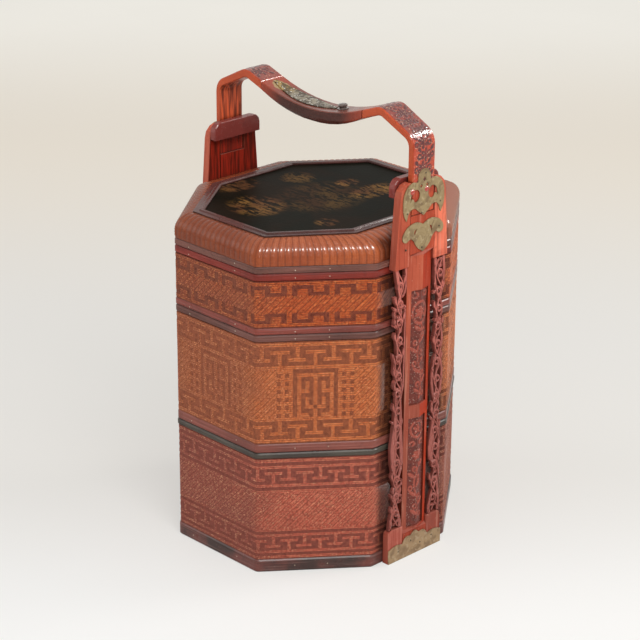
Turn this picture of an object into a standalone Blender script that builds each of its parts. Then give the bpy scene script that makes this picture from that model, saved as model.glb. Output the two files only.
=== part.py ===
"""Tiered bamboo food basket, in metres, +Z up, standing on z = 0.

Three octagonal trays and a lid stack between two carved uprights, which carry a
bent yoke handle. X runs along the handle, from the far upright to the near one.
The bottom tray is fixed between the uprights. The other trays and the lid each
lift off the lip of the tray below.
"""

import math

import bmesh
import bpy
from mathutils import Matrix, Vector
from mathutils.geometry import delaunay_2d_cdt

# Octagon shared by the trays and the lid: across its flats and along its facets
BODY_WIDTH = 0.340
BODY_DEPTH = 0.376
SIDE_FACET = 0.138
FRONT_FACET = 0.152
CORNER_RADIUS = 0.007
CORNER_STEPS = 2

# Seats and clearances
SEAT_GAP = 0.0003
LIP_CLEARANCE = 0.0007
UPRIGHT_CLEARANCE = 0.001
CUT_OVERRUN = 0.003
MERGE_DISTANCE = 0.000001

# Heights of the woven walls and of the bands between them
FOOT_BAND_HEIGHT = 0.0178
BOTTOM_WALL_HEIGHT = 0.145
BOTTOM_TOP_RIM_HEIGHT = 0.0083
MIDDLE_BOTTOM_RIM_HEIGHT = 0.0128
MIDDLE_WALL_HEIGHT = 0.1402
MIDDLE_TOP_RIM_HEIGHT = 0.0095
UPPER_BOTTOM_RIM_HEIGHT = 0.0097
UPPER_WALL_HEIGHT = 0.062
UPPER_TOP_RIM_HEIGHT = 0.010
LID_RIM_HEIGHT = 0.0097

# Tray construction
WALL_INSET = 0.0008
WALL_THICKNESS = 0.005
RIM_ROUND = 0.0016
FOOT_BAND_PROUD = 0.0007
FLOOR_THICKNESS = 0.005
FLOOR_LIFT = 0.010
FOOT_FLOOR_LIFT = 0.005
LIP_THICKNESS = 0.003
LIP_HEIGHT = 0.008
LIP_DEPTH = 0.018
LIP_CHAMFER = 0.001

# Lid: shoulder, panel and the moulding round the panel
PANEL_WIDTH = 0.270
PANEL_DEPTH = 0.327
PANEL_SIDE_FACET = 0.140
PANEL_FRONT_FACET = 0.134
SHOULDER_STRAIGHT = 0.010
SHOULDER_RISE = 0.0205
SHOULDER_STEPS = 6
SHELL_THICKNESS = 0.005
PANEL_THICKNESS = 0.005
MOULDING_WIDTH = 0.010
MOULDING_HEIGHT = 0.003
MOULDING_BEAD = 0.0035

# Uprights, in a frame of their own: x outwards from their back, y across, z up
POST_WIDTH = 0.044
POST_EDGE_DEPTH = 0.007
POST_RIDGE_DEPTH = 0.014
POST_HEIGHT = 0.478
POST_FOOT_HEIGHT = 0.036
POST_HEAD_LOW = 0.432
POST_STOP = 0.004
RAIL_WIDTH = 0.0065
RECESS_DEPTH = 0.0025
LOWER_RECESS_LOW = 0.042
LOWER_RECESS_HIGH = 0.200
UPPER_RECESS_LOW = 0.218
UPPER_RECESS_HIGH = 0.377

BOARD_DEPTH = 0.011
BOARD_LOW = 0.412
BOARD_HIGH = 0.522
BOARD_FOOT_HALF = 0.048
BOARD_HEAD_HALF = 0.041
BOARD_SHOULDER = 0.017
BOARD_CHAMFER = 0.001

BLOCK_DEPTH = 0.010
BLOCK_HEIGHT = 0.048
BLOCK_HALF = 0.050
BLOCK_CORNER = 0.007

FRET_HALF = 0.048
FRET_GAP = 0.002
FRET_THICKNESS = 0.005
FRET_STAND_OFF = 0.0045
FRET_WELD = 0.0002

CAP_BAR_LOW = 0.503
CAP_BAR_HIGH = 0.527
CAP_BAR_DEPTH = 0.010
CAP_BAR_HALF = 0.041
CAP_BAR_CORNER = 0.012

PIN_RADIUS = 0.0025
PIN_EMBED = 0.004
LOWER_PIN_HEIGHT = 0.060
UPPER_PIN_HEIGHT = 0.130
PIN_SIDES = 8

# Brass mounts
PLATE_THICKNESS = 0.0012
BAT_HALF = 0.037
UPPER_BAT_LOW = 0.474
UPPER_BAT_HEIGHT = 0.063
LOWER_BAT_LOW = 0.428
LOWER_BAT_HEIGHT = 0.041
FOOT_PLATE_LIFT = 0.0006
FOOT_PLATE_HEIGHT = 0.034

# Yoke handle: straps bent over the crests, and the dipped grip between them
STRAP_WIDTH = 0.040
STRAP_THICKNESS = 0.009
BEND_HEIGHT = 0.5785
BEND_RADIUS = 0.022
CREST_X = 0.124
CREST_HEIGHT = 0.6075
CREST_RADIUS = 0.020
CREST_THICKNESS = 0.0105
BEND_STEPS = 4
STRAP_CHAMFER = 0.0012
SPLICE_X = 0.092
SPLICE_TOP = 0.596
SPLICE_THICKNESS = 0.0115
GRIP_TOP = 0.579
GRIP_THICKNESS = 0.0185
GRIP_STATIONS = 12
GRIP_CHAMFER = 0.0012
GRIP_ROUND = 0.009
GRIP_ROUND_STEPS = 3
INLAY_START_X = -0.086
INLAY_END_X = 0.028
INLAY_WIDTH = 0.026
INLAY_TIP_WIDTH = 0.005
INLAY_THICKNESS = 0.0012
KNOB_X = 0.0395
KNOB_RADIUS = 0.0075
KNOB_HEIGHT = 0.008
KNOB_SEGMENTS = 12

# Colours, roughness and metallic values
WEAVE_TOP = ((0.42, 0.11, 0.035), 0.42, 0.0)
WEAVE_MIDDLE = ((0.48, 0.15, 0.04), 0.42, 0.0)
WEAVE_BOTTOM = ((0.30, 0.06, 0.03), 0.45, 0.0)
WEAVE_LID = ((0.40, 0.11, 0.04), 0.38, 0.0)
BAND_DARK = ((0.075, 0.035, 0.026), 0.35, 0.0)
BAND_RED = ((0.17, 0.03, 0.02), 0.35, 0.0)
BOARD_WOOD = ((0.25, 0.14, 0.07), 0.6, 0.0)
LINER_BAMBOO = ((0.36, 0.20, 0.09), 0.55, 0.0)
PANEL_LACQUER = ((0.022, 0.022, 0.016), 0.25, 0.0)
CORAL_LACQUER = ((0.50, 0.09, 0.05), 0.35, 0.0)
FRET_LACQUER = ((0.32, 0.075, 0.055), 0.45, 0.0)
STRAP_LACQUER = ((0.45, 0.06, 0.025), 0.3, 0.0)
GRIP_LACQUER = ((0.085, 0.022, 0.016), 0.28, 0.0)
PIN_BAMBOO = ((0.40, 0.27, 0.12), 0.6, 0.0)
AGED_BRASS = ((0.30, 0.24, 0.12), 0.45, 0.9)

# Fret carving. Places are shares of the fret's width, from the post outwards, and
# of its height, upwards. Widths and radii are shares of its width.
# A strand: its points, then its width at the start, the middle and the end.
FRET_A_STRAND_SHARES = (
    (((0.96, -0.004), (0.84, 0.04), (0.68, 0.085), (0.52, 0.13), (0.45, 0.20)), (0.24, 0.20, 0.20)),
    (((0.14, -0.004), (0.22, 0.04), (0.45, 0.09), (0.70, 0.122), (0.90, 0.143)), (0.28, 0.19, 0.13)),
    (((0.90, 0.03), (0.62, 0.018), (0.30, 0.03)), (0.14, 0.17, 0.14)),
    (((0.44, 0.19), (0.66, 0.23), (0.74, 0.29), (0.68, 0.36), (0.62, 0.43), (0.60, 0.52)),
     (0.18, 0.56, 0.19)),
    (((0.42, 0.19), (0.20, 0.225), (0.12, 0.27), (0.20, 0.35), (0.28, 0.43), (0.30, 0.52)),
     (0.18, 0.30, 0.18)),
    (((0.26, 0.51), (0.44, 0.525), (0.64, 0.51)), (0.16, 0.19, 0.16)),
    (((0.30, 0.50), (0.13, 0.56), (0.09, 0.63), (0.08, 0.70), (0.08, 0.78), (0.10, 0.845)),
     (0.17, 0.16, 0.16)),
    (((0.56, 0.60), (0.76, 0.63), (0.80, 0.66), (0.98, 0.69)), (0.19, 0.18, 0.14)),
    (((0.36, 0.60), (0.42, 0.64), (0.60, 0.68), (0.62, 0.73), (0.52, 0.775), (0.36, 0.775)),
     (0.18, 0.17, 0.18)),
    (((0.06, 0.715), (0.34, 0.72), (0.58, 0.71)), (0.14, 0.13, 0.14)),
    (((0.38, 0.765), (0.60, 0.785), (0.90, 0.794)), (0.17, 0.18, 0.12)),
    (((0.06, 0.855), (0.34, 0.855), (0.66, 0.85), (0.94, 0.862)), (0.18, 0.19, 0.13)),
    (((0.56, 0.85), (0.76, 0.882), (0.92, 0.90)), (0.17, 0.16, 0.12)),
    (((0.36, 0.855), (0.52, 0.90), (0.64, 0.945), (0.78, 1.004)), (0.20, 0.22, 0.26)),
    (((0.10, 1.004), (0.07, 0.955), (0.15, 0.91), (0.30, 0.897), (0.46, 0.908), (0.40, 0.932)),
     (0.20, 0.17, 0.12)),
    (((0.42, 0.20), (0.60, 0.19), (0.78, 0.20)), (0.16, 0.16, 0.10)),
    (((0.60, 0.42), (0.80, 0.424), (0.92, 0.43)), (0.13, 0.14, 0.11)),
)
# A ring: its centre, its middle radius and its width.
FRET_A_RING_SHARES = (
    (0.48, 0.149, 0.24, 0.19),
    (0.26, 0.178, 0.22, 0.17),
    (0.20, 0.115, 0.20, 0.16),
    (0.50, 0.568, 0.30, 0.19),
    (0.62, 0.636, 0.22, 0.16),
    (0.62, 0.807, 0.24, 0.17),
    (0.62, 0.837, 0.24, 0.17),
)
FRET_B_STRAND_SHARES = (
    (((0.22, -0.004), (0.18, 0.035), (0.36, 0.075), (0.58, 0.105), (0.72, 0.14)), (0.26, 0.19, 0.17)),
    (((0.92, -0.004), (0.92, 0.04), (0.86, 0.08), (0.80, 0.115), (0.88, 0.155), (0.80, 0.19),
      (0.54, 0.205)), (0.22, 0.18, 0.20)),
    (((0.16, 0.035), (0.50, 0.03), (0.94, 0.025)), (0.14, 0.17, 0.14)),
    (((0.70, 0.135), (0.50, 0.14), (0.34, 0.122), (0.42, 0.10)), (0.17, 0.17, 0.11)),
    (((0.54, 0.195), (0.24, 0.225), (0.24, 0.275), (0.30, 0.33), (0.44, 0.40)), (0.20, 0.48, 0.20)),
    (((0.52, 0.195), (0.76, 0.225), (0.87, 0.275), (0.83, 0.33), (0.54, 0.40)), (0.20, 0.24, 0.18)),
    (((0.46, 0.375), (0.22, 0.38), (0.10, 0.392)), (0.17, 0.17, 0.11)),
    (((0.50, 0.375), (0.66, 0.39), (0.80, 0.40)), (0.17, 0.16, 0.11)),
    (((0.40, 0.444), (0.20, 0.50), (0.14, 0.55), (0.26, 0.605), (0.56, 0.635), (0.76, 0.655)),
     (0.19, 0.19, 0.17)),
    (((0.52, 0.444), (0.82, 0.50), (0.92, 0.54), (0.84, 0.59), (0.70, 0.64)), (0.19, 0.20, 0.18)),
    (((0.46, 0.45), (0.48, 0.51), (0.46, 0.55), (0.62, 0.60), (0.68, 0.635)), (0.17, 0.16, 0.16)),
    (((0.72, 0.64), (0.84, 0.675), (0.78, 0.715), (0.56, 0.76)), (0.18, 0.19, 0.18)),
    (((0.52, 0.625), (0.30, 0.665), (0.28, 0.71), (0.52, 0.765)), (0.17, 0.18, 0.18)),
    (((0.24, 0.758), (0.50, 0.765), (0.90, 0.745)), (0.12, 0.20, 0.12)),
    (((0.42, 0.76), (0.38, 0.80), (0.56, 0.85)), (0.18, 0.17, 0.18)),
    (((0.66, 0.755), (0.78, 0.80), (0.60, 0.85)), (0.18, 0.17, 0.18)),
    (((0.60, 0.842), (0.30, 0.88), (0.16, 0.925), (0.20, 0.965), (0.16, 1.004)), (0.19, 0.18, 0.22)),
    (((0.56, 0.842), (0.76, 0.89), (0.86, 0.94), (0.80, 1.004)), (0.19, 0.18, 0.22)),
    (((0.20, 0.945), (0.50, 0.925), (0.82, 0.92)), (0.14, 0.15, 0.14)),
    (((0.28, 0.873), (0.10, 0.868), (-0.02, 0.875)), (0.15, 0.14, 0.10)),
)
FRET_B_RING_SHARES = (
    (0.46, 0.428, 0.27, 0.19),
    (0.72, 0.172, 0.20, 0.16),
    (0.54, 0.712, 0.20, 0.14),
    (0.56, 0.975, 0.22, 0.17),
)
RING_SIDES = 10
STRAND_STEPS = 2

# Half outlines of the brass mounts, from the middle of the top edge round the +y
# side to the middle of the lower edge: shares of the half width and of the height,
# and whether the outline turns a corner there.
UPPER_BAT_SHARES = (
    (0.00, 1.00, False), (0.27, 0.90, False), (0.30, 0.74, True), (0.60, 0.76, False),
    (0.90, 0.62, False), (1.00, 0.38, False), (0.96, 0.14, False), (0.84, 0.00, True),
    (0.66, 0.20, False), (0.44, 0.22, False), (0.26, 0.14, True), (0.00, 0.03, True),
)
UPPER_BAT_OPENING_SHARES = (
    ((0.20, 0.46, False), (0.34, 0.60, False), (0.58, 0.56, False), (0.68, 0.36, True),
     (0.56, 0.43, False), (0.42, 0.34, False)),
)
UPPER_BAT_PIERCING_SHARES = (
    ((0.00, 0.84, True), (0.07, 0.78, True), (0.00, 0.72, True), (-0.07, 0.78, True)),
    ((0.14, 0.70, True), (0.20, 0.66, True), (0.14, 0.61, True), (0.08, 0.66, True)),
    ((-0.14, 0.70, True), (-0.08, 0.66, True), (-0.14, 0.61, True), (-0.20, 0.66, True)),
)
LOWER_BAT_SHARES = (
    (0.00, 0.88, True), (0.26, 0.98, False), (0.58, 0.97, False), (0.88, 0.82, False),
    (1.00, 0.56, False), (0.84, 0.44, False), (0.62, 0.52, False), (0.44, 0.40, True),
    (0.30, 0.20, False), (0.00, 0.00, True),
)
LOWER_BAT_OPENING_SHARES = (
    ((0.30, 0.80, True), (0.44, 0.72, False), (0.42, 0.56, True), (0.36, 0.68, False)),
)
FOOT_PLATE_SHARES = (
    (0.00, 1.00, False), (0.16, 0.84, True), (0.34, 0.86, False), (0.48, 0.62, True),
    (0.72, 0.68, False), (1.00, 0.57, True), (1.00, 0.00, True), (0.00, 0.00, True),
)
PLATE_STEPS = 3

# The knob's outer side, top to bottom: shares of its radius and of its height
KNOB_PROFILE_SHARES = (
    (0.00, 1.00), (0.60, 0.92), (0.90, 0.68), (0.80, 0.42), (0.62, 0.30), (1.00, 0.15), (1.00, 0.00),
    (0.00, 0.00))

# Places that follow from the sizes above
WALL_INNER_INSET = WALL_INSET + WALL_THICKNESS
LIP_OUTER_INSET = WALL_INNER_INSET + SEAT_GAP
RIM_INNER_INSET = LIP_OUTER_INSET - LIP_CLEARANCE
PIN_HEIGHTS = (("lower", LOWER_PIN_HEIGHT), ("upper", UPPER_PIN_HEIGHT))
UPRIGHT_BACK_X = BODY_WIDTH / 2 + UPRIGHT_CLEARANCE
FACE_DEPTH = BOARD_DEPTH
BOARD_INNER = POST_WIDTH / 2 + SEAT_GAP
FRET_INNER = POST_WIDTH / 2 + FRET_GAP
FRET_LOW = BLOCK_HEIGHT + SEAT_GAP
FRET_HIGH = BOARD_LOW - SEAT_GAP
STRAP_OUTER_X = UPRIGHT_BACK_X + FACE_DEPTH
PLATE_BACK_DEPTH = FACE_DEPTH + SEAT_GAP
BOTTOM_TRAY_HEIGHT = FOOT_BAND_HEIGHT + BOTTOM_WALL_HEIGHT + BOTTOM_TOP_RIM_HEIGHT
MIDDLE_TRAY_HEIGHT = MIDDLE_BOTTOM_RIM_HEIGHT + MIDDLE_WALL_HEIGHT + MIDDLE_TOP_RIM_HEIGHT
UPPER_TRAY_HEIGHT = UPPER_BOTTOM_RIM_HEIGHT + UPPER_WALL_HEIGHT + UPPER_TOP_RIM_HEIGHT
MIDDLE_TRAY_Z = BOTTOM_TRAY_HEIGHT
UPPER_TRAY_Z = MIDDLE_TRAY_Z + MIDDLE_TRAY_HEIGHT
LID_Z = UPPER_TRAY_Z + UPPER_TRAY_HEIGHT
SHELL_Z = LID_RIM_HEIGHT
SHELL_TOP = SHELL_Z + SHOULDER_STRAIGHT + SHOULDER_RISE


def clear_scene():
    """Remove every object that the scene starts with."""
    for obj in list(bpy.data.objects):
        bpy.data.objects.remove(obj)


def group_empty(name, location=(0, 0, 0), turn=0.0):
    """An empty that carries the pieces of one body."""
    empty = bpy.data.objects.new(name, None)
    empty.location = location
    empty.rotation_euler = (0, 0, turn)
    bpy.context.scene.collection.objects.link(empty)
    return empty


def finish_material(name, finish):
    """A Principled material from a colour, a roughness and a metallic value."""
    colour, roughness, metallic = finish
    material = bpy.data.materials.new(name)
    material.use_nodes = True
    shader = material.node_tree.nodes["Principled BSDF"]
    shader.inputs["Base Color"].default_value = (*colour, 1)
    shader.inputs["Roughness"].default_value = roughness
    shader.inputs["Metallic"].default_value = metallic
    return material


def add_piece(name, mesh, finish, parent, location=(0, 0, 0), rotation=(0, 0, 0)):
    """Place a mesh as a named piece with a material of its own."""
    if not mesh.materials:
        mesh.materials.append(None)
    piece = bpy.data.objects.new(name, mesh)
    piece.location = location
    piece.rotation_euler = rotation
    piece.parent = parent
    bpy.context.scene.collection.objects.link(piece)
    slot = piece.material_slots[0]
    slot.link = "OBJECT"
    slot.material = finish_material(name, finish)
    return piece


def mesh_from(bm, name, sharp_degrees=30):
    """Turn a bmesh into a mesh with outward faces and smooth shading."""
    bmesh.ops.recalc_face_normals(bm, faces=bm.faces)
    mesh = bpy.data.meshes.new(name)
    bm.to_mesh(mesh)
    bm.free()
    mesh.shade_smooth()
    mesh.set_sharp_from_angle(angle=math.radians(sharp_degrees))
    return mesh


def loft(name, loops, closed=False):
    """Bridge loops of equal length, with end faces unless the last meets the first."""
    bm = bmesh.new()
    rows = [[bm.verts.new(point) for point in loop] for loop in loops]
    pairs = list(zip(rows, rows[1:]))
    if closed:
        pairs.append((rows[-1], rows[0]))
    for low, high in pairs:
        for index in range(len(low)):
            after = (index + 1) % len(low)
            bm.faces.new((low[index], low[after], high[after], high[index]))
    if not closed:
        bm.faces.new(reversed(rows[0]))
        bm.faces.new(rows[-1])
    return mesh_from(bm, name)


def chamfer(piece, width):
    """Break the sharp edges of a piece with a narrow flat."""
    bevel = piece.modifiers.new("chamfer", "BEVEL")
    bevel.width = width
    bevel.segments = 1
    bevel.limit_method = "ANGLE"
    bevel.angle_limit = math.radians(50)


def cutter(name, mesh, parent, location=(0, 0, 0)):
    """A hidden solid that takes material away."""
    tool = bpy.data.objects.new(name, mesh)
    tool.location = location
    tool.parent = parent
    tool.hide_render = True
    tool.display_type = "WIRE"
    bpy.context.scene.collection.objects.link(tool)
    return tool


def cut(piece, tool):
    """Cut a piece with a cutter."""
    boolean = piece.modifiers.new(tool.name, "BOOLEAN")
    boolean.operation = "DIFFERENCE"
    boolean.solver = "EXACT"
    boolean.object = tool


def octagon(width, depth, side, front, inset=0.0):
    """Corners of an octagon, counter-clockwise, with every side moved inwards."""
    half_x = width / 2
    half_y = depth / 2
    half_side = side / 2
    half_front = front / 2
    corners = [Vector(corner) for corner in (
        (half_x, -half_side), (half_x, half_side), (half_front, half_y), (-half_front, half_y),
        (-half_x, half_side), (-half_x, -half_side), (-half_front, -half_y), (half_front, -half_y))]
    moved = []
    for index, corner in enumerate(corners):
        before = (corner - corners[index - 1]).normalized()
        after = (corners[(index + 1) % len(corners)] - corner).normalized()
        inward_before = Vector((-before.y, before.x))
        inward_after = Vector((-after.y, after.x))
        middle = inward_before + inward_after
        moved.append(corner + middle * (inset / middle.dot(inward_before)))
    return moved


def rounded(corners, radius):
    """A closed outline with an arc at each corner."""
    outline = []
    for index, corner in enumerate(corners):
        before = (corners[index - 1] - corner).normalized()
        after = (corners[(index + 1) % len(corners)] - corner).normalized()
        half_angle = before.angle(after) / 2
        centre = corner + (before + after).normalized() * (radius / math.sin(half_angle))
        start = corner + before * (radius / math.tan(half_angle)) - centre
        end = corner + after * (radius / math.tan(half_angle)) - centre
        for step in range(CORNER_STEPS + 1):
            share = step / CORNER_STEPS
            spoke = (start * (1 - share) + end * share).normalized() * radius
            outline.append(centre + spoke)
    return outline


def body_outline(inset):
    """The basket's octagon, with arcs that keep their centre as it shrinks."""
    corners = octagon(BODY_WIDTH, BODY_DEPTH, SIDE_FACET, FRONT_FACET, inset)
    return rounded(corners, max(CORNER_RADIUS - inset / 2, CORNER_RADIUS / 4))


def panel_outline(inset):
    """The lid panel's octagon."""
    corners = octagon(PANEL_WIDTH, PANEL_DEPTH, PANEL_SIDE_FACET, PANEL_FRONT_FACET, inset)
    return rounded(corners, CORNER_RADIUS / 2)


def at_height(outline, height):
    """A flat outline as a loop of points at a height."""
    return [Vector((point.x, point.y, height)) for point in outline]


def band(name, profile, outline=body_outline):
    """A ring whose cross-section is a closed list of insets and heights."""
    loops = [at_height(outline(inset), height) for inset, height in profile]
    return loft(name, loops, closed=True)


def rim_profile(height, proud=0.0):
    """A band with both outer edges rounded over."""
    inner = RIM_INNER_INSET
    high = height - SEAT_GAP
    return [(inner, 0), (RIM_ROUND - proud, 0), (-proud, RIM_ROUND),
            (-proud, high - RIM_ROUND), (RIM_ROUND - proud, high), (inner, high)]


def wall_profile(height):
    """A plain wall between two bands."""
    high = height - SEAT_GAP
    return [(WALL_INNER_INSET, 0), (WALL_INSET, 0), (WALL_INSET, high), (WALL_INNER_INSET, high)]


def lip_profile():
    """The liner band, from inside the wall to above the tray's top rim."""
    outer = LIP_OUTER_INSET
    inner = outer + LIP_THICKNESS
    return [(inner, -LIP_DEPTH), (outer, -LIP_DEPTH), (outer, LIP_HEIGHT - LIP_CHAMFER),
            (outer + LIP_CHAMFER, LIP_HEIGHT), (inner, LIP_HEIGHT)]


def build_tray(name, parent, heights, weave, bands, proud=0.0, floor_lift=FLOOR_LIFT):
    """One tray: a lower band, a woven wall, a top rim, a floor and a lip."""
    low_height, wall_height, rim_height = heights
    low_name, low_finish, rim_finish = bands
    wall_z = low_height
    rim_z = low_height + wall_height
    add_piece(f"{name}_{low_name}", band(low_name, rim_profile(low_height, proud)), low_finish, parent)
    wall = add_piece(f"{name}_wall", band("wall", wall_profile(wall_height)), weave, parent,
                     (0, 0, wall_z))
    add_piece(f"{name}_top_rim", band("top_rim", rim_profile(rim_height, proud)), rim_finish, parent,
              (0, 0, rim_z))
    inside_band = floor_lift + FLOOR_THICKNESS < low_height
    edge = body_outline((RIM_INNER_INSET if inside_band else WALL_INNER_INSET) + SEAT_GAP)
    floor_loops = [at_height(edge, 0), at_height(edge, FLOOR_THICKNESS)]
    add_piece(f"{name}_floor", loft("floor", floor_loops), BOARD_WOOD, parent, (0, 0, floor_lift))
    add_piece(f"{name}_lip", band("lip", lip_profile()), LINER_BAMBOO, parent,
              (0, 0, rim_z + rim_height))
    return wall


def shoulder_loop(angle_share, inset):
    """One loop of the lid's shoulder, part of the way from the body's octagon
    to the panel's, with the wall's thickness as its inset."""
    angle = angle_share * math.pi / 2
    inward_share = 1 - math.cos(angle)
    rise = SHOULDER_RISE * math.sin(angle)
    wide = body_outline(WALL_INSET + inset)
    narrow = panel_outline(inset * (1 - inward_share))
    drop = inset * inward_share
    height = SHELL_Z + SHOULDER_STRAIGHT + rise - drop
    return [Vector((*(a * (1 - inward_share) + b * inward_share), height)) for a, b in zip(wide, narrow)]


def build_lid(parent):
    """The rim, the woven shell, the panel and the moulding round it."""
    add_piece("lid_rim", band("lid_rim", rim_profile(LID_RIM_HEIGHT)), BAND_DARK, parent)
    low = SHELL_Z
    shares = [step / SHOULDER_STEPS for step in range(SHOULDER_STEPS + 1)]
    outer = [at_height(body_outline(WALL_INSET), low)]
    outer += [shoulder_loop(share, 0) for share in shares]
    ledge = panel_outline(MOULDING_WIDTH)
    inner = [at_height(ledge, SHELL_TOP), at_height(ledge, SHELL_TOP - SHELL_THICKNESS)]
    inner += [shoulder_loop(share, SHELL_THICKNESS) for share in reversed(shares[:-1])]
    inner.append(at_height(body_outline(WALL_INNER_INSET), low))
    add_piece("lid_shell", loft("lid_shell", outer + inner, closed=True), WEAVE_LID, parent)

    edge = panel_outline(MOULDING_WIDTH + SEAT_GAP)
    panel_loops = [at_height(edge, SHELL_TOP - PANEL_THICKNESS), at_height(edge, SHELL_TOP)]
    add_piece("lid_panel", loft("lid_panel", panel_loops), PANEL_LACQUER, parent)

    low = SHELL_TOP + SEAT_GAP
    ridge = low + MOULDING_HEIGHT
    flat = low + MOULDING_HEIGHT / 2
    inner_edge = MOULDING_WIDTH + MOULDING_BEAD
    profile = [(inner_edge, low), (0, low), (0, flat), (MOULDING_WIDTH - MOULDING_BEAD, flat),
               (MOULDING_WIDTH - MOULDING_BEAD / 2, ridge), (MOULDING_WIDTH + MOULDING_BEAD / 2, ridge),
               (inner_edge, flat)]
    add_piece("lid_moulding", band("lid_moulding", profile, panel_outline), BAND_DARK, parent)


def post_section(edge_depth, ridge_depth, height):
    """The post's cross-section: a flat back and a ridged or flat face."""
    half = POST_WIDTH / 2
    return [Vector(point) for point in (
        (0, -half, height), (edge_depth, -half, height), (ridge_depth, 0, height),
        (edge_depth, half, height), (0, half, height))]


def post_mesh():
    """Centre post: flat foot and head, ridged between them."""
    levels = (
        (BLOCK_DEPTH, BLOCK_DEPTH, 0),
        (BLOCK_DEPTH, BLOCK_DEPTH, POST_FOOT_HEIGHT),
        (POST_EDGE_DEPTH, POST_RIDGE_DEPTH, POST_FOOT_HEIGHT + POST_STOP),
        (POST_EDGE_DEPTH, POST_RIDGE_DEPTH, POST_HEAD_LOW - POST_STOP * 2),
        (FACE_DEPTH, FACE_DEPTH, POST_HEAD_LOW - POST_STOP),
        (FACE_DEPTH, FACE_DEPTH, POST_HEIGHT))
    return loft("post", [post_section(*level) for level in levels])


def recess_mesh(low, high):
    """Cutter for a recessed panel whose floor follows the ridged face."""
    half = POST_WIDTH / 2 - RAIL_WIDTH
    slope = (POST_RIDGE_DEPTH - POST_EDGE_DEPTH) / (POST_WIDTH / 2)
    ridge = POST_RIDGE_DEPTH - RECESS_DEPTH
    edge = ridge - slope * half
    front = POST_RIDGE_DEPTH + CUT_OVERRUN
    section = ((edge, -half), (ridge, 0), (edge, half), (front, half), (front, -half))
    return loft("recess", [[Vector((x, y, z)) for x, y in section] for z in (low, high)])


def upright_solid(outlines, name, back, front):
    """Extrude filled outlines, drawn in y and z, from one depth to another."""
    curve = bpy.data.curves.new(name, "CURVE")
    curve.dimensions = "2D"
    curve.fill_mode = "BOTH"
    curve.extrude = (front - back) / 2
    curve.resolution_u = PLATE_STEPS
    for outline in outlines:
        spline = curve.splines.new("BEZIER")
        spline.bezier_points.add(len(outline) - 1)
        spline.use_cyclic_u = True
        for point, (y, z, corner) in zip(spline.bezier_points, outline):
            point.co = (y, z, 0)
            kind = "VECTOR" if corner else "AUTO"
            point.handle_left_type = kind
            point.handle_right_type = kind
    drawing = bpy.data.objects.new(name, curve)
    bpy.context.scene.collection.objects.link(drawing)
    bpy.context.view_layer.update()
    evaluated = drawing.evaluated_get(bpy.context.evaluated_depsgraph_get())
    flat = bpy.data.meshes.new_from_object(evaluated)
    bpy.data.objects.remove(drawing)
    bm = bmesh.new()
    bm.from_mesh(flat)
    bmesh.ops.remove_doubles(bm, verts=bm.verts, dist=MERGE_DISTANCE)
    bmesh.ops.dissolve_degenerate(bm, edges=bm.edges, dist=MERGE_DISTANCE)
    middle = (front + back) / 2
    stand_up = Matrix(((0, 0, 1, middle), (1, 0, 0, 0), (0, 1, 0, 0), (0, 0, 0, 1)))
    bmesh.ops.transform(bm, matrix=stand_up, verts=bm.verts)
    return mesh_from(bm, name)


def arc(centre_y, centre_z, radius, start_degrees, end_degrees, steps=3):
    """Points of an arc as corners of an outline."""
    points = []
    for step in range(steps + 1):
        angle = math.radians(start_degrees + (end_degrees - start_degrees) * step / steps)
        points.append((centre_y + radius * math.cos(angle), centre_z + radius * math.sin(angle), True))
    return points


def board_outline():
    """A board beside the strap's lower end, on the +y side."""
    shoulder_z = BOARD_HIGH - BOARD_SHOULDER
    shoulder_y = BOARD_HEAD_HALF - BOARD_SHOULDER
    outline = [(BOARD_INNER, BOARD_LOW, True), (BOARD_FOOT_HALF, BOARD_LOW, True)]
    outline += arc(shoulder_y, shoulder_z, BOARD_SHOULDER, 0, 90)
    outline.append((BOARD_INNER, BOARD_HIGH, True))
    return outline


def block_outline():
    """A base block on the +y side, rounded at its upper outer corner."""
    outline = [(BOARD_INNER, 0, True), (BLOCK_HALF, 0, True)]
    outline += arc(BLOCK_HALF - BLOCK_CORNER, BLOCK_HEIGHT - BLOCK_CORNER, BLOCK_CORNER, 0, 90)
    outline.append((BOARD_INNER, BLOCK_HEIGHT, True))
    return outline


def cap_bar_outline():
    """The bar across the inner side, with rounded upper corners."""
    corner_y = CAP_BAR_HALF - CAP_BAR_CORNER
    corner_z = CAP_BAR_HIGH - CAP_BAR_CORNER
    outline = [(-CAP_BAR_HALF, CAP_BAR_LOW, True), (CAP_BAR_HALF, CAP_BAR_LOW, True)]
    outline += arc(corner_y, corner_z, CAP_BAR_CORNER, 0, 90)
    outline += arc(-corner_y, corner_z, CAP_BAR_CORNER, 90, 180)
    return outline


def mirrored(outline):
    """The same outline on the -y side."""
    return [(-y, z, corner) for y, z, corner in reversed(outline)]


def placed(shares, half_width, low, height):
    """Shares of a mount as places on the upright's face."""
    return [(y_share * half_width, low + z_share * height, corner) for y_share, z_share, corner in shares]


def whole_outline(half):
    """A half outline and its mirror image as one closed outline."""
    return half + [point for point in mirrored(half) if point[0] != 0]


def mount_mesh(name, half_shares, opening_shares, piercing_shares, size):
    """A brass mount: mirrored outline, paired openings and single piercings."""
    half = placed(half_shares, *size)
    outlines = [whole_outline(half)]
    for shares in opening_shares:
        opening = placed(shares, *size)
        outlines.append(opening)
        outlines.append(mirrored(opening))
    for shares in piercing_shares:
        outlines.append(placed(shares, *size))
    back = PLATE_BACK_DEPTH
    if name == "foot_plate":
        back = BLOCK_DEPTH + SEAT_GAP
    return upright_solid(outlines, name, back, back + PLATE_THICKNESS)


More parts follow.
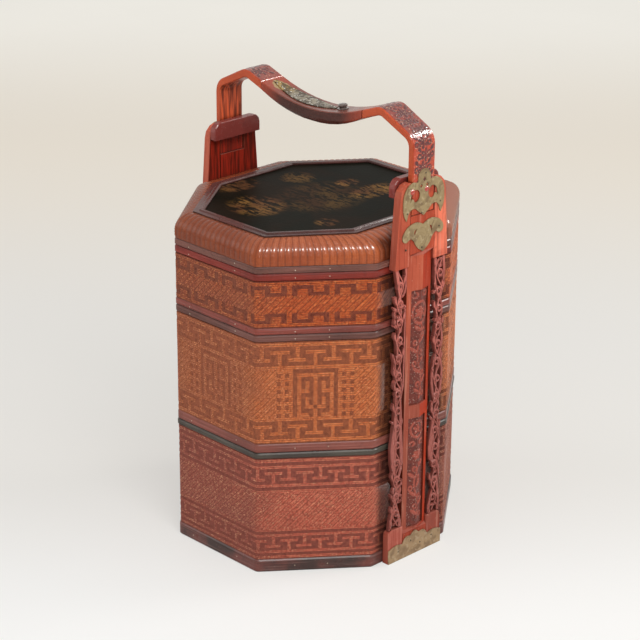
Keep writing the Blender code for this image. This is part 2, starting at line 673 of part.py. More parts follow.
def smooth_path(points, steps):
    """Points on a Catmull-Rom curve through the given ones."""
    padded = [points[0] * 2 - points[1]] + list(points) + [points[-1] * 2 - points[-2]]
    path = []
    for p0, p1, p2, p3 in zip(padded, padded[1:], padded[2:], padded[3:]):
        for step in range(steps):
            t = step / steps
            path.append((p1 * 2 + (p2 - p0) * t + (p0 * 2 - p1 * 5 + p2 * 4 - p3) * t ** 2
                         + (p1 * 3 - p0 - p2 * 3 + p3) * t ** 3) / 2)
    path.append(points[-1])
    return path


def strand_sides(shares, width_shares):
    """Both sides of a tapered strand, in y and z, from its start round its end."""
    width = FRET_HALF - FRET_INNER
    height = FRET_HIGH - FRET_LOW
    points = [Vector((FRET_INNER + s * width, FRET_LOW + t * height)) for s, t in shares]
    path = smooth_path(points, STRAND_STEPS)
    start, middle, end = (share * width for share in width_shares)
    last = len(path) - 1
    left = []
    right = []
    for index, point in enumerate(path):
        ahead = path[min(index + 1, last)] - path[max(index - 1, 0)]
        across = Vector((-ahead.y, ahead.x)).normalized()
        place = 2 * index / last
        if place < 1:
            thickness = start + (middle - start) * place
        else:
            thickness = middle + (end - middle) * (place - 1)
        left.append(point + across * thickness / 2)
        right.append(point - across * thickness / 2)
    tip = path[-1] + (path[-1] - path[-2]).normalized() * end / 2
    tail = path[0] - (path[1] - path[0]).normalized() * start / 4
    return right + [tip] + left[::-1] + [tail]


def within_fret(outline):
    """The outline held within the fret's own width and height."""
    return [Vector((min(max(point.x, FRET_INNER), FRET_HALF),
                    min(max(point.y, FRET_LOW), FRET_HIGH))) for point in outline]


def half_rings(shares):
    """A ring as two bent strips that overlap where they meet."""
    width = FRET_HALF - FRET_INNER
    s, t, radius_share, width_share = shares
    centre = Vector((FRET_INNER + s * width, FRET_LOW + t * (FRET_HIGH - FRET_LOW)))
    radii = ((radius_share + width_share / 2) * width, (radius_share - width_share / 2) * width)
    strips = []
    for first in (0, RING_SIDES // 2):
        angles = [2 * math.pi * (first + side) / RING_SIDES for side in range(RING_SIDES // 2 + 2)]
        outer, inner = [[centre + Vector((math.cos(a), math.sin(a))) * radius for a in angles]
                        for radius in radii]
        strips.append(outer + inner[::-1])
    return strips


def fret_mesh(name, strand_shares, ring_shares):
    """Pierced fret: overlapping strands and rings cut from one board."""
    outlines = [strand_sides(shares, width_shares) for shares, width_shares in strand_shares]
    for shares in ring_shares:
        outlines += half_rings(shares)
    points = []
    areas = []
    for outline in outlines:
        areas.append(list(range(len(points), len(points) + len(outline))))
        points += within_fret(outline)
    places, _, triangles, _, _, covers = delaunay_2d_cdt(points, [], areas, 1, MERGE_DISTANCE)
    bm = bmesh.new()
    verts = [bm.verts.new((FRET_STAND_OFF, place.x, place.y)) for place in places]
    for triangle, cover in zip(triangles, covers):
        if cover:
            bm.faces.new([verts[index] for index in triangle])
    bmesh.ops.delete(bm, geom=[vert for vert in verts if not vert.link_faces], context="VERTS")
    bmesh.ops.remove_doubles(bm, verts=bm.verts, dist=FRET_WELD)
    bmesh.ops.dissolve_limit(bm, angle_limit=math.radians(4), verts=bm.verts, edges=bm.edges)
    raised = bmesh.ops.extrude_face_region(bm, geom=bm.faces[:])["geom"]
    risen = [item for item in raised if isinstance(item, bmesh.types.BMVert)]
    bmesh.ops.translate(bm, vec=(FRET_THICKNESS, 0, 0), verts=risen)
    return mesh_from(bm, name)


def pin_mesh(radius, start, end):
    """A round pin along x, from one depth to another."""
    loops = []
    for depth in (start, end):
        loop = []
        for side in range(PIN_SIDES):
            turn = 2 * math.pi * side / PIN_SIDES
            loop.append(Vector((depth, radius * math.cos(turn), radius * math.sin(turn))))
        loops.append(loop)
    return loft("pin", loops)


def build_upright(side, parent, shared, tray_wall):
    """All the pieces of one upright, placed on its own empty."""
    post = add_piece(f"post_{side}", shared["post"], CORAL_LACQUER, parent)
    for name in ("lower_recess", "upper_recess"):
        cut(post, cutter(f"{name}_{side}", shared[name], parent))
    for level, height in PIN_HEIGHTS:
        hole = cutter(f"pin_hole_{level}_{side}", shared["pin_hole"], parent, (0, 0, height))
        cut(post, hole)
        cut(tray_wall, hole)
        add_piece(f"pin_{level}_{side}", shared["pin"], PIN_BAMBOO, parent, (0, 0, height))
    for name in ("board_left", "board_right", "base_block_left", "base_block_right"):
        chamfer(add_piece(f"{name}_{side}", shared[name], CORAL_LACQUER, parent), BOARD_CHAMFER)
    for name in ("fret_left", "fret_right"):
        add_piece(f"{name}_{side}", shared[name], FRET_LACQUER, parent)
    chamfer(add_piece(f"cap_bar_{side}", shared["cap_bar"], GRIP_LACQUER, parent), BOARD_CHAMFER)
    for name in ("bat_plate_upper", "bat_plate_lower", "foot_plate"):
        add_piece(f"{name}_{side}", shared[name], AGED_BRASS, parent)


def upright_meshes():
    """The meshes that both uprights share, by name."""
    pin_back = -UPRIGHT_CLEARANCE - WALL_INNER_INSET
    return {
        "post": post_mesh(),
        "lower_recess": recess_mesh(LOWER_RECESS_LOW, LOWER_RECESS_HIGH),
        "upper_recess": recess_mesh(UPPER_RECESS_LOW, UPPER_RECESS_HIGH),
        "pin_hole": pin_mesh(PIN_RADIUS + SEAT_GAP, pin_back - CUT_OVERRUN, PIN_EMBED + SEAT_GAP),
        "pin": pin_mesh(PIN_RADIUS, pin_back + SEAT_GAP, PIN_EMBED),
        "board_right": upright_solid([board_outline()], "board_right", 0, BOARD_DEPTH),
        "board_left": upright_solid([mirrored(board_outline())], "board_left", 0, BOARD_DEPTH),
        "base_block_right": upright_solid([block_outline()], "base_block_right", 0, BLOCK_DEPTH),
        "base_block_left": upright_solid([mirrored(block_outline())], "base_block_left", 0, BLOCK_DEPTH),
        "cap_bar": upright_solid([cap_bar_outline()], "cap_bar", -SEAT_GAP - CAP_BAR_DEPTH, -SEAT_GAP),
        "fret_left": flipped(fret_mesh("fret_left", FRET_A_STRAND_SHARES, FRET_A_RING_SHARES)),
        "fret_right": fret_mesh("fret_right", FRET_B_STRAND_SHARES, FRET_B_RING_SHARES),
        "bat_plate_upper": mount_mesh(
            "bat_plate_upper", UPPER_BAT_SHARES, UPPER_BAT_OPENING_SHARES, UPPER_BAT_PIERCING_SHARES,
            (BAT_HALF, UPPER_BAT_LOW, UPPER_BAT_HEIGHT)),
        "bat_plate_lower": mount_mesh(
            "bat_plate_lower", LOWER_BAT_SHARES, LOWER_BAT_OPENING_SHARES, (),
            (BAT_HALF, LOWER_BAT_LOW, LOWER_BAT_HEIGHT)),
        "foot_plate": mount_mesh(
            "foot_plate", FOOT_PLATE_SHARES, (), (),
            (BLOCK_HALF, FOOT_PLATE_LIFT, FOOT_PLATE_HEIGHT)),
    }


def flipped(mesh):
    """The mesh mirrored to the -y side, with its faces still pointing out."""
    bm = bmesh.new()
    bm.from_mesh(mesh)
    bmesh.ops.transform(bm, matrix=Matrix.Diagonal((1, -1, 1, 1)), verts=bm.verts)
    return mesh_from(bm, mesh.name)


def bend(before, corner, after, radius):
    """Points of an arc that rounds a corner of a side view."""
    to_before = (before - corner).normalized()
    to_after = (after - corner).normalized()
    half_angle = to_before.angle(to_after) / 2
    centre = corner + (to_before + to_after).normalized() * (radius / math.sin(half_angle))
    start = corner + to_before * (radius / math.tan(half_angle)) - centre
    end = corner + to_after * (radius / math.tan(half_angle)) - centre
    points = []
    for step in range(BEND_STEPS + 1):
        share = step / BEND_STEPS
        points.append(centre + (start * (1 - share) + end * share).normalized() * radius)
    return points


def parallel_corner(before, corner, after, first_depth, second_depth):
    """Where two lines meet that lie inside those of a corner, each by its own depth."""
    along_before = (corner - before).normalized()
    along_after = (after - corner).normalized()
    first = corner + Vector((-along_before.y, along_before.x)) * first_depth
    second = corner + Vector((-along_after.y, along_after.x)) * second_depth
    offset = second - first
    turn = along_before.x * along_after.y - along_before.y * along_after.x
    return first + along_before * ((offset.x * along_after.y - offset.y * along_after.x) / turn)


def strap_mesh():
    """The near strap: up from the post, over the crest and down to the splice."""
    foot = Vector((STRAP_OUTER_X, POST_HEIGHT + SEAT_GAP))
    shoulder = Vector((STRAP_OUTER_X, BEND_HEIGHT))
    crest = Vector((CREST_X, CREST_HEIGHT))
    end = Vector((SPLICE_X + SEAT_GAP / 2, SPLICE_TOP))
    outer = [foot] + bend(foot, shoulder, crest, BEND_RADIUS)
    outer += bend(shoulder, crest, end, CREST_RADIUS) + [end]
    inner_foot = foot - Vector((STRAP_THICKNESS, 0))
    inner_shoulder = parallel_corner(foot, shoulder, crest, STRAP_THICKNESS, STRAP_THICKNESS)
    inner_crest = parallel_corner(shoulder, crest, end, CREST_THICKNESS, CREST_THICKNESS)
    inner_end = end - Vector((0, SPLICE_THICKNESS))
    inner = [inner_foot]
    inner += bend(inner_foot, inner_shoulder, inner_crest, BEND_RADIUS - STRAP_THICKNESS)
    inner += bend(inner_shoulder, inner_crest, inner_end, CREST_RADIUS - CREST_THICKNESS)
    inner.append(inner_end)
    side_view = outer + inner[::-1]
    half = STRAP_WIDTH / 2
    return loft("strap", [[Vector((p.x, y, p.y)) for p in side_view] for y in (-half, half)])


def grip_top(x):
    """Height of the grip's upper face."""
    return GRIP_TOP + (SPLICE_TOP - GRIP_TOP) * (x / SPLICE_X) ** 2


def grip_bottom(x):
    """Height of the grip's underside."""
    middle = GRIP_TOP - GRIP_THICKNESS
    end = SPLICE_TOP - SPLICE_THICKNESS
    return middle + (end - middle) * (x / SPLICE_X) ** 2


def grip_section(x):
    """Cross-section of the grip: a flat top with chamfers and a rounded belly."""
    half = STRAP_WIDTH / 2
    top = grip_top(x)
    low = grip_bottom(x)
    middle_share = 1 - abs(x) / SPLICE_X
    radius = GRIP_CHAMFER + (GRIP_ROUND - GRIP_CHAMFER) * middle_share
    section = [Vector((x, half - GRIP_CHAMFER, top)), Vector((x, GRIP_CHAMFER - half, top)),
               Vector((x, -half, top - GRIP_CHAMFER))]
    for step in range(GRIP_ROUND_STEPS + 1):
        angle = math.pi / 2 * step / GRIP_ROUND_STEPS
        section.append(Vector((x, radius - half - radius * math.cos(angle),
                               low + radius - radius * math.sin(angle))))
    for step in range(GRIP_ROUND_STEPS + 1):
        angle = math.pi / 2 * (1 - step / GRIP_ROUND_STEPS)
        section.append(Vector((x, half - radius + radius * math.cos(angle),
                               low + radius - radius * math.sin(angle))))
    section.append(Vector((x, half, top - GRIP_CHAMFER)))
    return section


def grip_stations():
    """Places along the grip at which its cross-section is drawn."""
    end = SPLICE_X - SEAT_GAP / 2
    return [end * (2 * step / GRIP_STATIONS - 1) for step in range(GRIP_STATIONS + 1)]


def grip_mesh():
    """The dipped grip between the splices."""
    return loft("grip", [grip_section(x) for x in grip_stations()])


def grip_face(x):
    """Height of the upper face as it is built, straight from station to station."""
    stations = grip_stations()
    after = next((place for place in stations if place >= x), stations[-1])
    before = stations[stations.index(after) - 1]
    share = (x - before) / (after - before)
    return grip_top(before) * (1 - share) + grip_top(after) * share


def inlay_mesh():
    """A pointed sheet that follows the grip's upper face, station by station."""
    between = [x for x in grip_stations() if INLAY_START_X < x < INLAY_END_X]
    loops = []
    for x in [INLAY_START_X] + between + [INLAY_END_X]:
        share = (x - INLAY_START_X) / (INLAY_END_X - INLAY_START_X)
        swell = math.sin(math.pi * share)
        half = (INLAY_TIP_WIDTH + (INLAY_WIDTH - INLAY_TIP_WIDTH) * swell) / 2
        low = grip_face(x) + SEAT_GAP
        high = low + INLAY_THICKNESS
        loops.append([Vector((x, -half, low)), Vector((x, half, low)),
                      Vector((x, half, high)), Vector((x, -half, high))])
    return loft("inlay", loops)


def knob_mesh():
    """A turned knob: a foot, a waist and a round head, from a revolved profile."""
    profile = [(r_share * KNOB_RADIUS, z_share * KNOB_HEIGHT) for r_share, z_share in KNOB_PROFILE_SHARES]
    bm = bmesh.new()
    verts = [bm.verts.new((x, 0, z)) for x, z in profile]
    edges = [bm.edges.new(pair) for pair in zip(verts, verts[1:])]
    bmesh.ops.spin(bm, geom=verts + edges, cent=(0, 0, 0), axis=(0, 0, 1), angle=2 * math.pi,
                   steps=KNOB_SEGMENTS)
    bmesh.ops.remove_doubles(bm, verts=bm.verts, dist=MERGE_DISTANCE)
    return mesh_from(bm, "knob")


def knob_seat():
    """Height and slope of the straight line on which the knob clears the grip's face."""
    start = KNOB_X - KNOB_RADIUS
    end = KNOB_X + KNOB_RADIUS
    low = grip_face(start)
    rise = (grip_face(end) - low) / (end - start)
    lifts = [grip_face(x) - low - rise * (x - start) for x in grip_stations() if start < x < end]
    return low + rise * KNOB_RADIUS + max([0] + lifts) + SEAT_GAP, math.atan(rise)


def build_handle(parent):
    """Both straps, the grip, its inlay and the knob."""
    strap = strap_mesh()
    for name, turn in (("handle_strap_near", 0), ("handle_strap_far", math.pi)):
        chamfer(add_piece(name, strap, STRAP_LACQUER, parent, (0, 0, 0), (0, 0, turn)), STRAP_CHAMFER)
    add_piece("handle_grip", grip_mesh(), GRIP_LACQUER, parent)
    add_piece("handle_inlay", inlay_mesh(), AGED_BRASS, parent)
    seat_height, slope = knob_seat()
    add_piece("handle_knob", knob_mesh(), AGED_BRASS, parent, (KNOB_X, 0, seat_height), (0, -slope, 0))


def build_basket():
    """Every body of the basket."""
    clear_scene()
    frame = group_empty("basket_frame")
    middle = group_empty("middle_tray", (0, 0, MIDDLE_TRAY_Z))
    upper = group_empty("upper_tray", (0, 0, UPPER_TRAY_Z))
    lid = group_empty("lid", (0, 0, LID_Z))
    bottom_wall = build_tray(
        "bottom_tray", frame, (FOOT_BAND_HEIGHT, BOTTOM_WALL_HEIGHT, BOTTOM_TOP_RIM_HEIGHT),
        WEAVE_BOTTOM, ("foot_band", BAND_DARK, BAND_DARK), FOOT_BAND_PROUD, FOOT_FLOOR_LIFT)
    build_tray(
        "middle_tray", middle, (MIDDLE_BOTTOM_RIM_HEIGHT, MIDDLE_WALL_HEIGHT, MIDDLE_TOP_RIM_HEIGHT),
        WEAVE_MIDDLE, ("bottom_rim", BAND_RED, BAND_DARK))
    build_tray(
        "upper_tray", upper, (UPPER_BOTTOM_RIM_HEIGHT, UPPER_WALL_HEIGHT, UPPER_TOP_RIM_HEIGHT),
        WEAVE_TOP, ("bottom_rim", BAND_DARK, BAND_RED))
    build_lid(lid)
    shared = upright_meshes()
    for side, x, turn in (("near", UPRIGHT_BACK_X, 0), ("far", -UPRIGHT_BACK_X, math.pi)):
        upright = group_empty(f"upright_{side}", (x, 0, 0), turn)
        upright.parent = frame
        build_upright(side, upright, shared, bottom_wall)
    build_handle(frame)


build_basket()
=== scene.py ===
"""Looks of the tiered bamboo food basket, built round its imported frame."""
import math

import bmesh
import bpy
import numpy as np
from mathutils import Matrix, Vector, geometry, noise


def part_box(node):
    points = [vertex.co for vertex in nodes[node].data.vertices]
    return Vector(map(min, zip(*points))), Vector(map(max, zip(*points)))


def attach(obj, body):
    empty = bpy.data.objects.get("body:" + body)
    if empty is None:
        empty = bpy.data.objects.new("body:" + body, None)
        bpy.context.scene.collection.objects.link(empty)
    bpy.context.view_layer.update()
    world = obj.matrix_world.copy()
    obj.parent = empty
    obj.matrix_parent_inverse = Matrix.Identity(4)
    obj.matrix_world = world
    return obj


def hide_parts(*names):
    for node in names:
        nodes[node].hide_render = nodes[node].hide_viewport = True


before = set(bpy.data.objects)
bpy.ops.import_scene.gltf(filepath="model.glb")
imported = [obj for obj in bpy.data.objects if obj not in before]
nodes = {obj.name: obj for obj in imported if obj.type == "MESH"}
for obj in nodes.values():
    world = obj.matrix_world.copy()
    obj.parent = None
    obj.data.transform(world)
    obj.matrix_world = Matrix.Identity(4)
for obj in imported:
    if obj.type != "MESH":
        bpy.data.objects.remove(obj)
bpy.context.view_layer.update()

TRAYS = {"upper_tray": "upper_tray", "middle_tray": "middle_tray", "bottom_tray": "basket_frame"}
SIDES = ("near", "far")
LEVEL_TOLERANCE = 0.00002
ROUNDING = 7


# Materials

def tone(red, green, blue):
    """A colour written as display values from 0 to 255, in linear light."""
    shares = [value / 255 for value in (red, green, blue)]
    linear = [s / 12.92 if s <= 0.04045 else ((s + 0.055) / 1.055) ** 2.4 for s in shares]
    return (*linear, 1.0)


class Paint:
    """A node material built up in steps. Scales are per metre, in the basket's frame."""

    def __init__(self, name, rough=0.4, coat=0.0, metal=0.0, bend=1.3):
        self.material = bpy.data.materials.new(name)
        self.material.use_nodes = True
        self.tree = self.material.node_tree
        self.shader = next(n for n in self.tree.nodes if n.type == "BSDF_PRINCIPLED")
        self.shader.inputs["Roughness"].default_value = rough
        self.shader.inputs["Coat Weight"].default_value = coat
        self.shader.inputs["Coat Roughness"].default_value = rough / 2
        self.shader.inputs["Metallic"].default_value = metal
        self.shader.inputs["IOR"].default_value = bend
        coords = self.tree.nodes.new("ShaderNodeTexCoord")
        self.space = coords.outputs["Object"]
        self.map = coords.outputs["UV"]
        self.normal = coords.outputs["Normal"]

    def node(self, kind, inputs=(), **settings):
        made = self.tree.nodes.new("ShaderNode" + kind)
        for key, value in settings.items():
            setattr(made, key, value)
        for key, value in dict(inputs).items():
            if isinstance(value, bpy.types.NodeSocket):
                self.tree.links.new(value, made.inputs[key])
            else:
                made.inputs[key].default_value = value
        return made

    def stretch(self, source, scale):
        return self.node("Mapping", {"Vector": source, "Scale": scale}).outputs[0]

    def noise(self, scale, detail=3.0, source=None, warp=0.0):
        inputs = {"Vector": source or self.space, "Scale": scale, "Detail": detail, "Distortion": warp}
        return self.node("TexNoise", inputs).outputs["Fac"]

    def cells(self, scale, feature="F1", source=None):
        inputs = {"Vector": source or self.space, "Scale": scale}
        return self.node("TexVoronoi", inputs, feature=feature).outputs["Distance"]

    def level(self, value, low, high):
        """0 below low, 1 above high, smooth between them."""
        inputs = {0: value, 1: low, 2: high}
        return self.node("MapRange", inputs, interpolation_type="SMOOTHSTEP").outputs[0]

    def calc(self, operation, first, second=0.0):
        return self.node("Math", {0: first, 1: second}, operation=operation).outputs[0]

    def times(self, first, second):
        return self.calc("MULTIPLY", first, second)

    def blend(self, share, first, second):
        inputs = {0: share, 6: first, 7: second}
        return self.node("Mix", inputs, data_type="RGBA").outputs[2]

    def axis(self, index, source=None):
        return self.node("SeparateXYZ", {0: source or self.space}).outputs[index]

    def waves(self, source, pitch):
        """1 on the crests and 0 between them, along one coordinate."""
        turn = self.times(source, 2 * math.pi / pitch)
        return self.calc("MULTIPLY_ADD", self.calc("SINE", turn), 0.5)

    def finish(self, colour, height=None, depth=0.0005, rough=None):
        self.tree.links.new(colour, self.shader.inputs["Base Color"])
        if rough is not None:
            self.tree.links.new(rough, self.shader.inputs["Roughness"])
        if height is not None:
            bump = self.node("Bump", {"Height": height, "Distance": depth, "Strength": 0.8})
            self.tree.links.new(bump.outputs[0], self.shader.inputs["Normal"])
        return self.material


def shaded_by_posts(paint, colour, deep):
    """Painted shade on a body beside its two uprights, where they shade it."""
    across = paint.calc("ABSOLUTE", paint.axis(1))
    outward = paint.calc("ABSOLUTE", paint.axis(0))
    near = paint.times(paint.level(across, 0.0675, 0.0515), paint.level(outward, 0.150, 0.166))
    return paint.blend(paint.times(near, 0.78), colour, deep)


def wear_and_painted_shade(paint, colour, worn_shade, worn_shade_share):
    """Worn, faded patches, most of them on the faces away from the light and so partly painted shade, and painted shade
    low down on the faces at the right.
    """
    away = paint.calc("MULTIPLY_ADD", paint.axis(1), -2.4)
    away = paint.calc("ADD", away, paint.times(paint.axis(0), -3.2))
    # Worn patches placed by the faces away from the light: partly painted shade.
    worn_shade_patch = paint.calc("ADD", paint.level(away, 0.25, 0.98), paint.noise(30, 4))
    worn_shade_patch = paint.times(paint.level(worn_shade_patch, 0.8, 1.45), worn_shade_share)
    colour = paint.blend(worn_shade_patch, colour, worn_shade)
    # Painted shade low down on the faces at the right.
    low_right_shade = paint.times(paint.level(away, 0.05, -0.2), paint.level(paint.axis(2), 0.29, 0.13))
    return paint.blend(paint.times(low_right_shade, 0.5), colour, tone(52, 22, 16))


def weft_paint(name, light, dark, dirt, pale, worn_shade, worn_shade_share, gloss=0.05):
    """Splints on the face of the weave: streaks, specks, dirt, worn places that are partly painted shade, pale specks
    that are partly painted glints, and painted shade beside the uprights.
    """
    paint = Paint(name, 0.42, gloss, bend=1.2)
    splints = paint.noise(1.0, 2.0, paint.stretch(paint.map, (90, 620, 1)))
    across = paint.axis(0, paint.map)
    ticks = paint.calc("SINE", paint.times(across, 2 * math.pi / 0.00185))
    broad = paint.noise(9, 4)
    fine = paint.noise(410, 3)
    bright = paint.noise(520, 2, paint.stretch(paint.space, (1.0, 1.0, 1.4)))
    colour = paint.blend(paint.level(splints, 0.32, 0.68), dark, light)
    colour = paint.blend(paint.times(paint.level(ticks, 0.2, 1.0), 0.34), colour, dirt)
    colour = paint.blend(paint.times(paint.level(broad, 0.46, 0.68), 0.45), colour, dark)
    # Worn patches that are partly painted shade, and painted shade low on the right.
    colour = wear_and_painted_shade(paint, colour, worn_shade, worn_shade_share)
    colour = paint.blend(paint.times(paint.level(fine, 0.47, 0.62), 0.66), colour, dirt)
    # Pale specks: partly the splints' own pale grain, partly painted glints.
    colour = paint.blend(paint.times(paint.level(bright, 0.54, 0.68), 0.6), colour, pale)
    colour = shaded_by_posts(paint, colour, tone(44, 18, 12))
    grain = paint.calc("ADD", paint.times(paint.level(ticks, -0.2, 1.0), -0.5), fine)
    rough = paint.calc("MULTIPLY_ADD", broad, 0.3)
    rough.node.inputs[2].default_value = 0.26
    return paint.finish(colour, grain, 0.0004, rough)


def warp_paint(name, light, dark, pale, worn_shade, worn_shade_share):
    """Splints that show in the weave's recesses, crossed by slanting lights."""
    paint = Paint(name, 0.6, bend=1.15)
    splints = paint.noise(1.0, 2.0, paint.stretch(paint.map, (330, 160, 1)))
    across, up = paint.axis(0, paint.map), paint.axis(1, paint.map)
    slant = paint.calc("SINE", paint.times(paint.calc("ADD", across, up), 2 * math.pi / 0.0030))
    fine = paint.noise(430, 3)
    colour = paint.blend(paint.level(splints, 0.3, 0.7), dark, light)
    colour = paint.blend(paint.times(paint.level(slant, 0.1, 0.9), 0.5), colour, pale)
    # Worn patches that are partly painted shade, and painted shade low on the right.
    colour = wear_and_painted_shade(paint, colour, worn_shade, worn_shade_share)
    colour = paint.blend(paint.times(paint.level(fine, 0.48, 0.64), 0.6), colour, dark)
    colour = shaded_by_posts(paint, colour, tone(30, 14, 10))
    grain = paint.calc("ADD", paint.times(slant, 0.4), fine)
    return paint.finish(colour, grain, 0.0005)


def lid_paint(name, light, dark, sheen, rib_pitch):
    """Ribbed shoulder: darker between the ribs, paler and pinker towards the top with a painted sheen, with painted
    shade on the faces away from the light and a painted sheen on the faces at the right.
    """
    paint = Paint(name, 0.3, 0.4, bend=1.12)
    paint.shader.inputs["Coat Roughness"].default_value = 0.2
    across, up = paint.axis(0, paint.map), paint.axis(2)
    turn = paint.calc("COSINE", paint.times(across, 2 * math.pi / rib_pitch))
    finer = paint.calc("COSINE", paint.times(across, 6 * math.pi / rib_pitch))
    rows = paint.calc("SINE", paint.times(paint.axis(1, paint.map), 2 * math.pi / 0.0013))
    broad = paint.noise(16, 4)
    fine = paint.noise(460, 3)
    colour = paint.blend(paint.level(broad, 0.38, 0.64), light, dark)
    # Painted sheen: paler and pinker towards the top of the shoulder.
    colour = paint.blend(paint.times(paint.level(up, 0.436, 0.4545), 0.5), colour, sheen)
    colour = paint.blend(paint.times(paint.level(fine, 0.5, 0.66), 0.5), colour, dark)
    colour = paint.blend(paint.times(paint.level(finer, 0.3, 1.0), 0.3), colour, dark)
    colour = paint.blend(paint.times(paint.level(rows, 0.2, 1.0), 0.4), colour, dark)
    ribs = paint.noise(1.0, 2, paint.stretch(paint.map, (150, 16, 1)))
    colour = paint.blend(paint.times(paint.level(ribs, 0.45, 0.62), 0.35), colour, dark)
    colour = paint.blend(paint.times(paint.level(turn, 0.4, 1.0), 0.42), colour, tone(96, 44, 28))
    away = paint.calc("MULTIPLY_ADD", paint.axis(1), -2.4)
    away = paint.calc("ADD", away, paint.times(paint.axis(0), -3.2))
    # Painted shade on the faces away from the light.
    colour = paint.blend(paint.times(paint.level(away, 0.5, 0.9), 0.7), colour, tone(112, 52, 30))
    # Painted sheen: paler, pinker faces at the right.
    colour = paint.blend(paint.times(paint.level(away, 0.1, -0.2), 0.6), colour, tone(142, 96, 82))
    colour = shaded_by_posts(paint, colour, tone(40, 18, 12))
    rough = paint.calc("MULTIPLY_ADD", broad, 0.16)
    rough.node.inputs[2].default_value = 0.1
    return paint.finish(colour, paint.calc("ADD", fine, paint.times(rows, 0.4)), 0.0003, rough)


def dimmed(colour, share):
    return (*[c * share for c in colour[:3]], 1.0)


CAP_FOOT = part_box("cap_bar_near")[0].z
INNER_RED = tone(150, 40, 24)


def lacquer(name, base, deep, pale, rough=0.3, coat=0.12, scales=(14, 90, 420), shares=(0.6, 0.35, 0.25),
            right=None, inner=None, sides=None, top=None, low=None, hands=None, run=None, ends=None, gilt=None,
            bend=1.25):
    """Old lacquer: broad tone, blotches, pale specks, painted shade in its corners and a slightly uneven face.

    right colours the slope to the right of an upright's ridge with painted shade, inner the faces that look
    towards the basket's axis, sides gives painted shade to the faces that look along Y, top a painted
    highlight to those that look up and low the duller, worn lower part of an upright. hands are the colours
    left and right of an upright's ridge, above and then low down, run is the scale of lengthwise streaks,
    ends the colour towards the grip's two splices and gilt that of the rubbed gilding on it."""
    paint = Paint(name, rough, coat, bend=bend)
    broad = paint.noise(scales[0], 4)
    blotch = paint.noise(scales[1], 4, warp=0.6)
    specks = paint.noise(scales[2], 2)
    ground = base
    facing_x, facing_y = paint.axis(0, paint.normal), paint.axis(1, paint.normal)
    lower = paint.level(paint.axis(2), 0.40, 0.20)
    if hands:
        hand = paint.level(paint.times(paint.axis(0), paint.axis(1)), -0.004, 0.004)
        ground = paint.blend(lower, paint.blend(hand, *hands[:2]), paint.blend(hand, *hands[2:]))
    if low:
        ground = paint.blend(lower, base, low)
    # Painted shade: a darker, stronger red on the slope to the right of an upright's ridge.
    if right:
        ground = paint.blend(paint.level(paint.times(facing_x, facing_y), -0.1, 0.1), ground, right)
    colour = paint.blend(paint.times(paint.level(broad, 0.42, 0.66), shares[0]), ground, deep)
    colour = paint.blend(paint.times(paint.level(blotch, 0.55, 0.72), shares[1]), colour, deep)
    if run:
        streaks = paint.noise(1.0, 3, paint.stretch(paint.space, run), 0.2)
        colour = paint.blend(paint.times(paint.level(streaks, 0.5, 0.66), 0.42), colour, dimmed(deep, 0.6))
        colour = paint.blend(paint.times(paint.level(streaks, 0.42, 0.32), 0.25), colour, pale)
    colour = paint.blend(paint.times(paint.level(specks, 0.66, 0.78), shares[2]), colour, pale)
    if inner:
        streaks = paint.noise(1.0, 3, paint.stretch(paint.space, (260, 300, 20)), 0.4)
        inner = paint.blend(paint.level(paint.axis(2), CAP_FOOT - 0.002, CAP_FOOT + 0.002), INNER_RED, inner)
        inside = paint.blend(paint.times(paint.level(streaks, 0.38, 0.64), 0.8), inner, tone(62, 24, 16))
        towards = paint.times(facing_x, paint.axis(0))
        colour = paint.blend(paint.level(towards, -0.03, -0.09), colour, inside)
    # Painted shade: the faces that look along Y take the darker sides colour.
    if sides:
        colour = paint.blend(paint.times(paint.level(paint.calc("ABSOLUTE", facing_y), 0.6, 0.85), 0.7), colour, sides)
    # Painted highlight: the faces that look up take the top colour.
    if top:
        colour = paint.blend(paint.times(paint.level(paint.axis(2, paint.normal), 0.25, 0.75), 0.75), colour, top)
    if ends:
        outward = paint.level(paint.calc("ABSOLUTE", paint.axis(0)), 0.050, 0.090)
        colour = paint.blend(paint.times(outward, 0.75), colour, ends)
    if gilt:
        along = paint.times(paint.calc("ADD", paint.axis(0), 0.073), 1 / 0.0145)
        across = paint.times(paint.axis(1), 1 / 0.0105)
        oval = paint.calc("ADD", paint.times(along, along), paint.times(across, across))
        rubbed = paint.level(paint.calc("ADD", oval, paint.noise(160, 3)), 1.75, 1.25)
        colour = paint.blend(paint.times(rubbed, 0.9), colour, gilt)
    # Painted shade: darker where the ambient occlusion finds corners and creases.
    corners = paint.node("AmbientOcclusion", {"Distance": 0.008}, samples=4).outputs["AO"]
    colour = paint.blend(paint.times(paint.level(corners, 0.85, 0.35), 0.55), colour, dimmed(deep, 0.3))
    uneven = paint.calc("ADD", blotch, paint.times(specks, 0.4))
    gloss = paint.calc("MULTIPLY_ADD", blotch, 0.35)
    gloss.node.inputs[2].default_value = rough - 0.14
    return paint.finish(colour, uneven, 0.0003, gloss)


def brass_paint(name, base, deep, pale):
    """Aged brass: tarnish, pits and brighter rubbed places."""
    paint = Paint(name, 0.5, metal=0.3)
    tarnish = paint.noise(70, 5, warp=0.8)
    pits = paint.cells(420)
    rubbed = paint.noise(170, 3)
    colour = paint.blend(paint.level(tarnish, 0.4, 0.66), base, deep)
    colour = paint.blend(paint.times(paint.level(rubbed, 0.54, 0.68), 0.6), colour, pale)
    colour = paint.blend(paint.times(paint.level(pits, 0.14, 0.04), 0.45), colour, deep)
    grain = paint.calc("ADD", tarnish, paint.level(pits, 0.02, 0.2))
    gloss = paint.calc("MULTIPLY_ADD", tarnish, 0.4)
    gloss.node.inputs[2].default_value = 0.3
    return paint.finish(colour, grain, 0.0002, gloss)


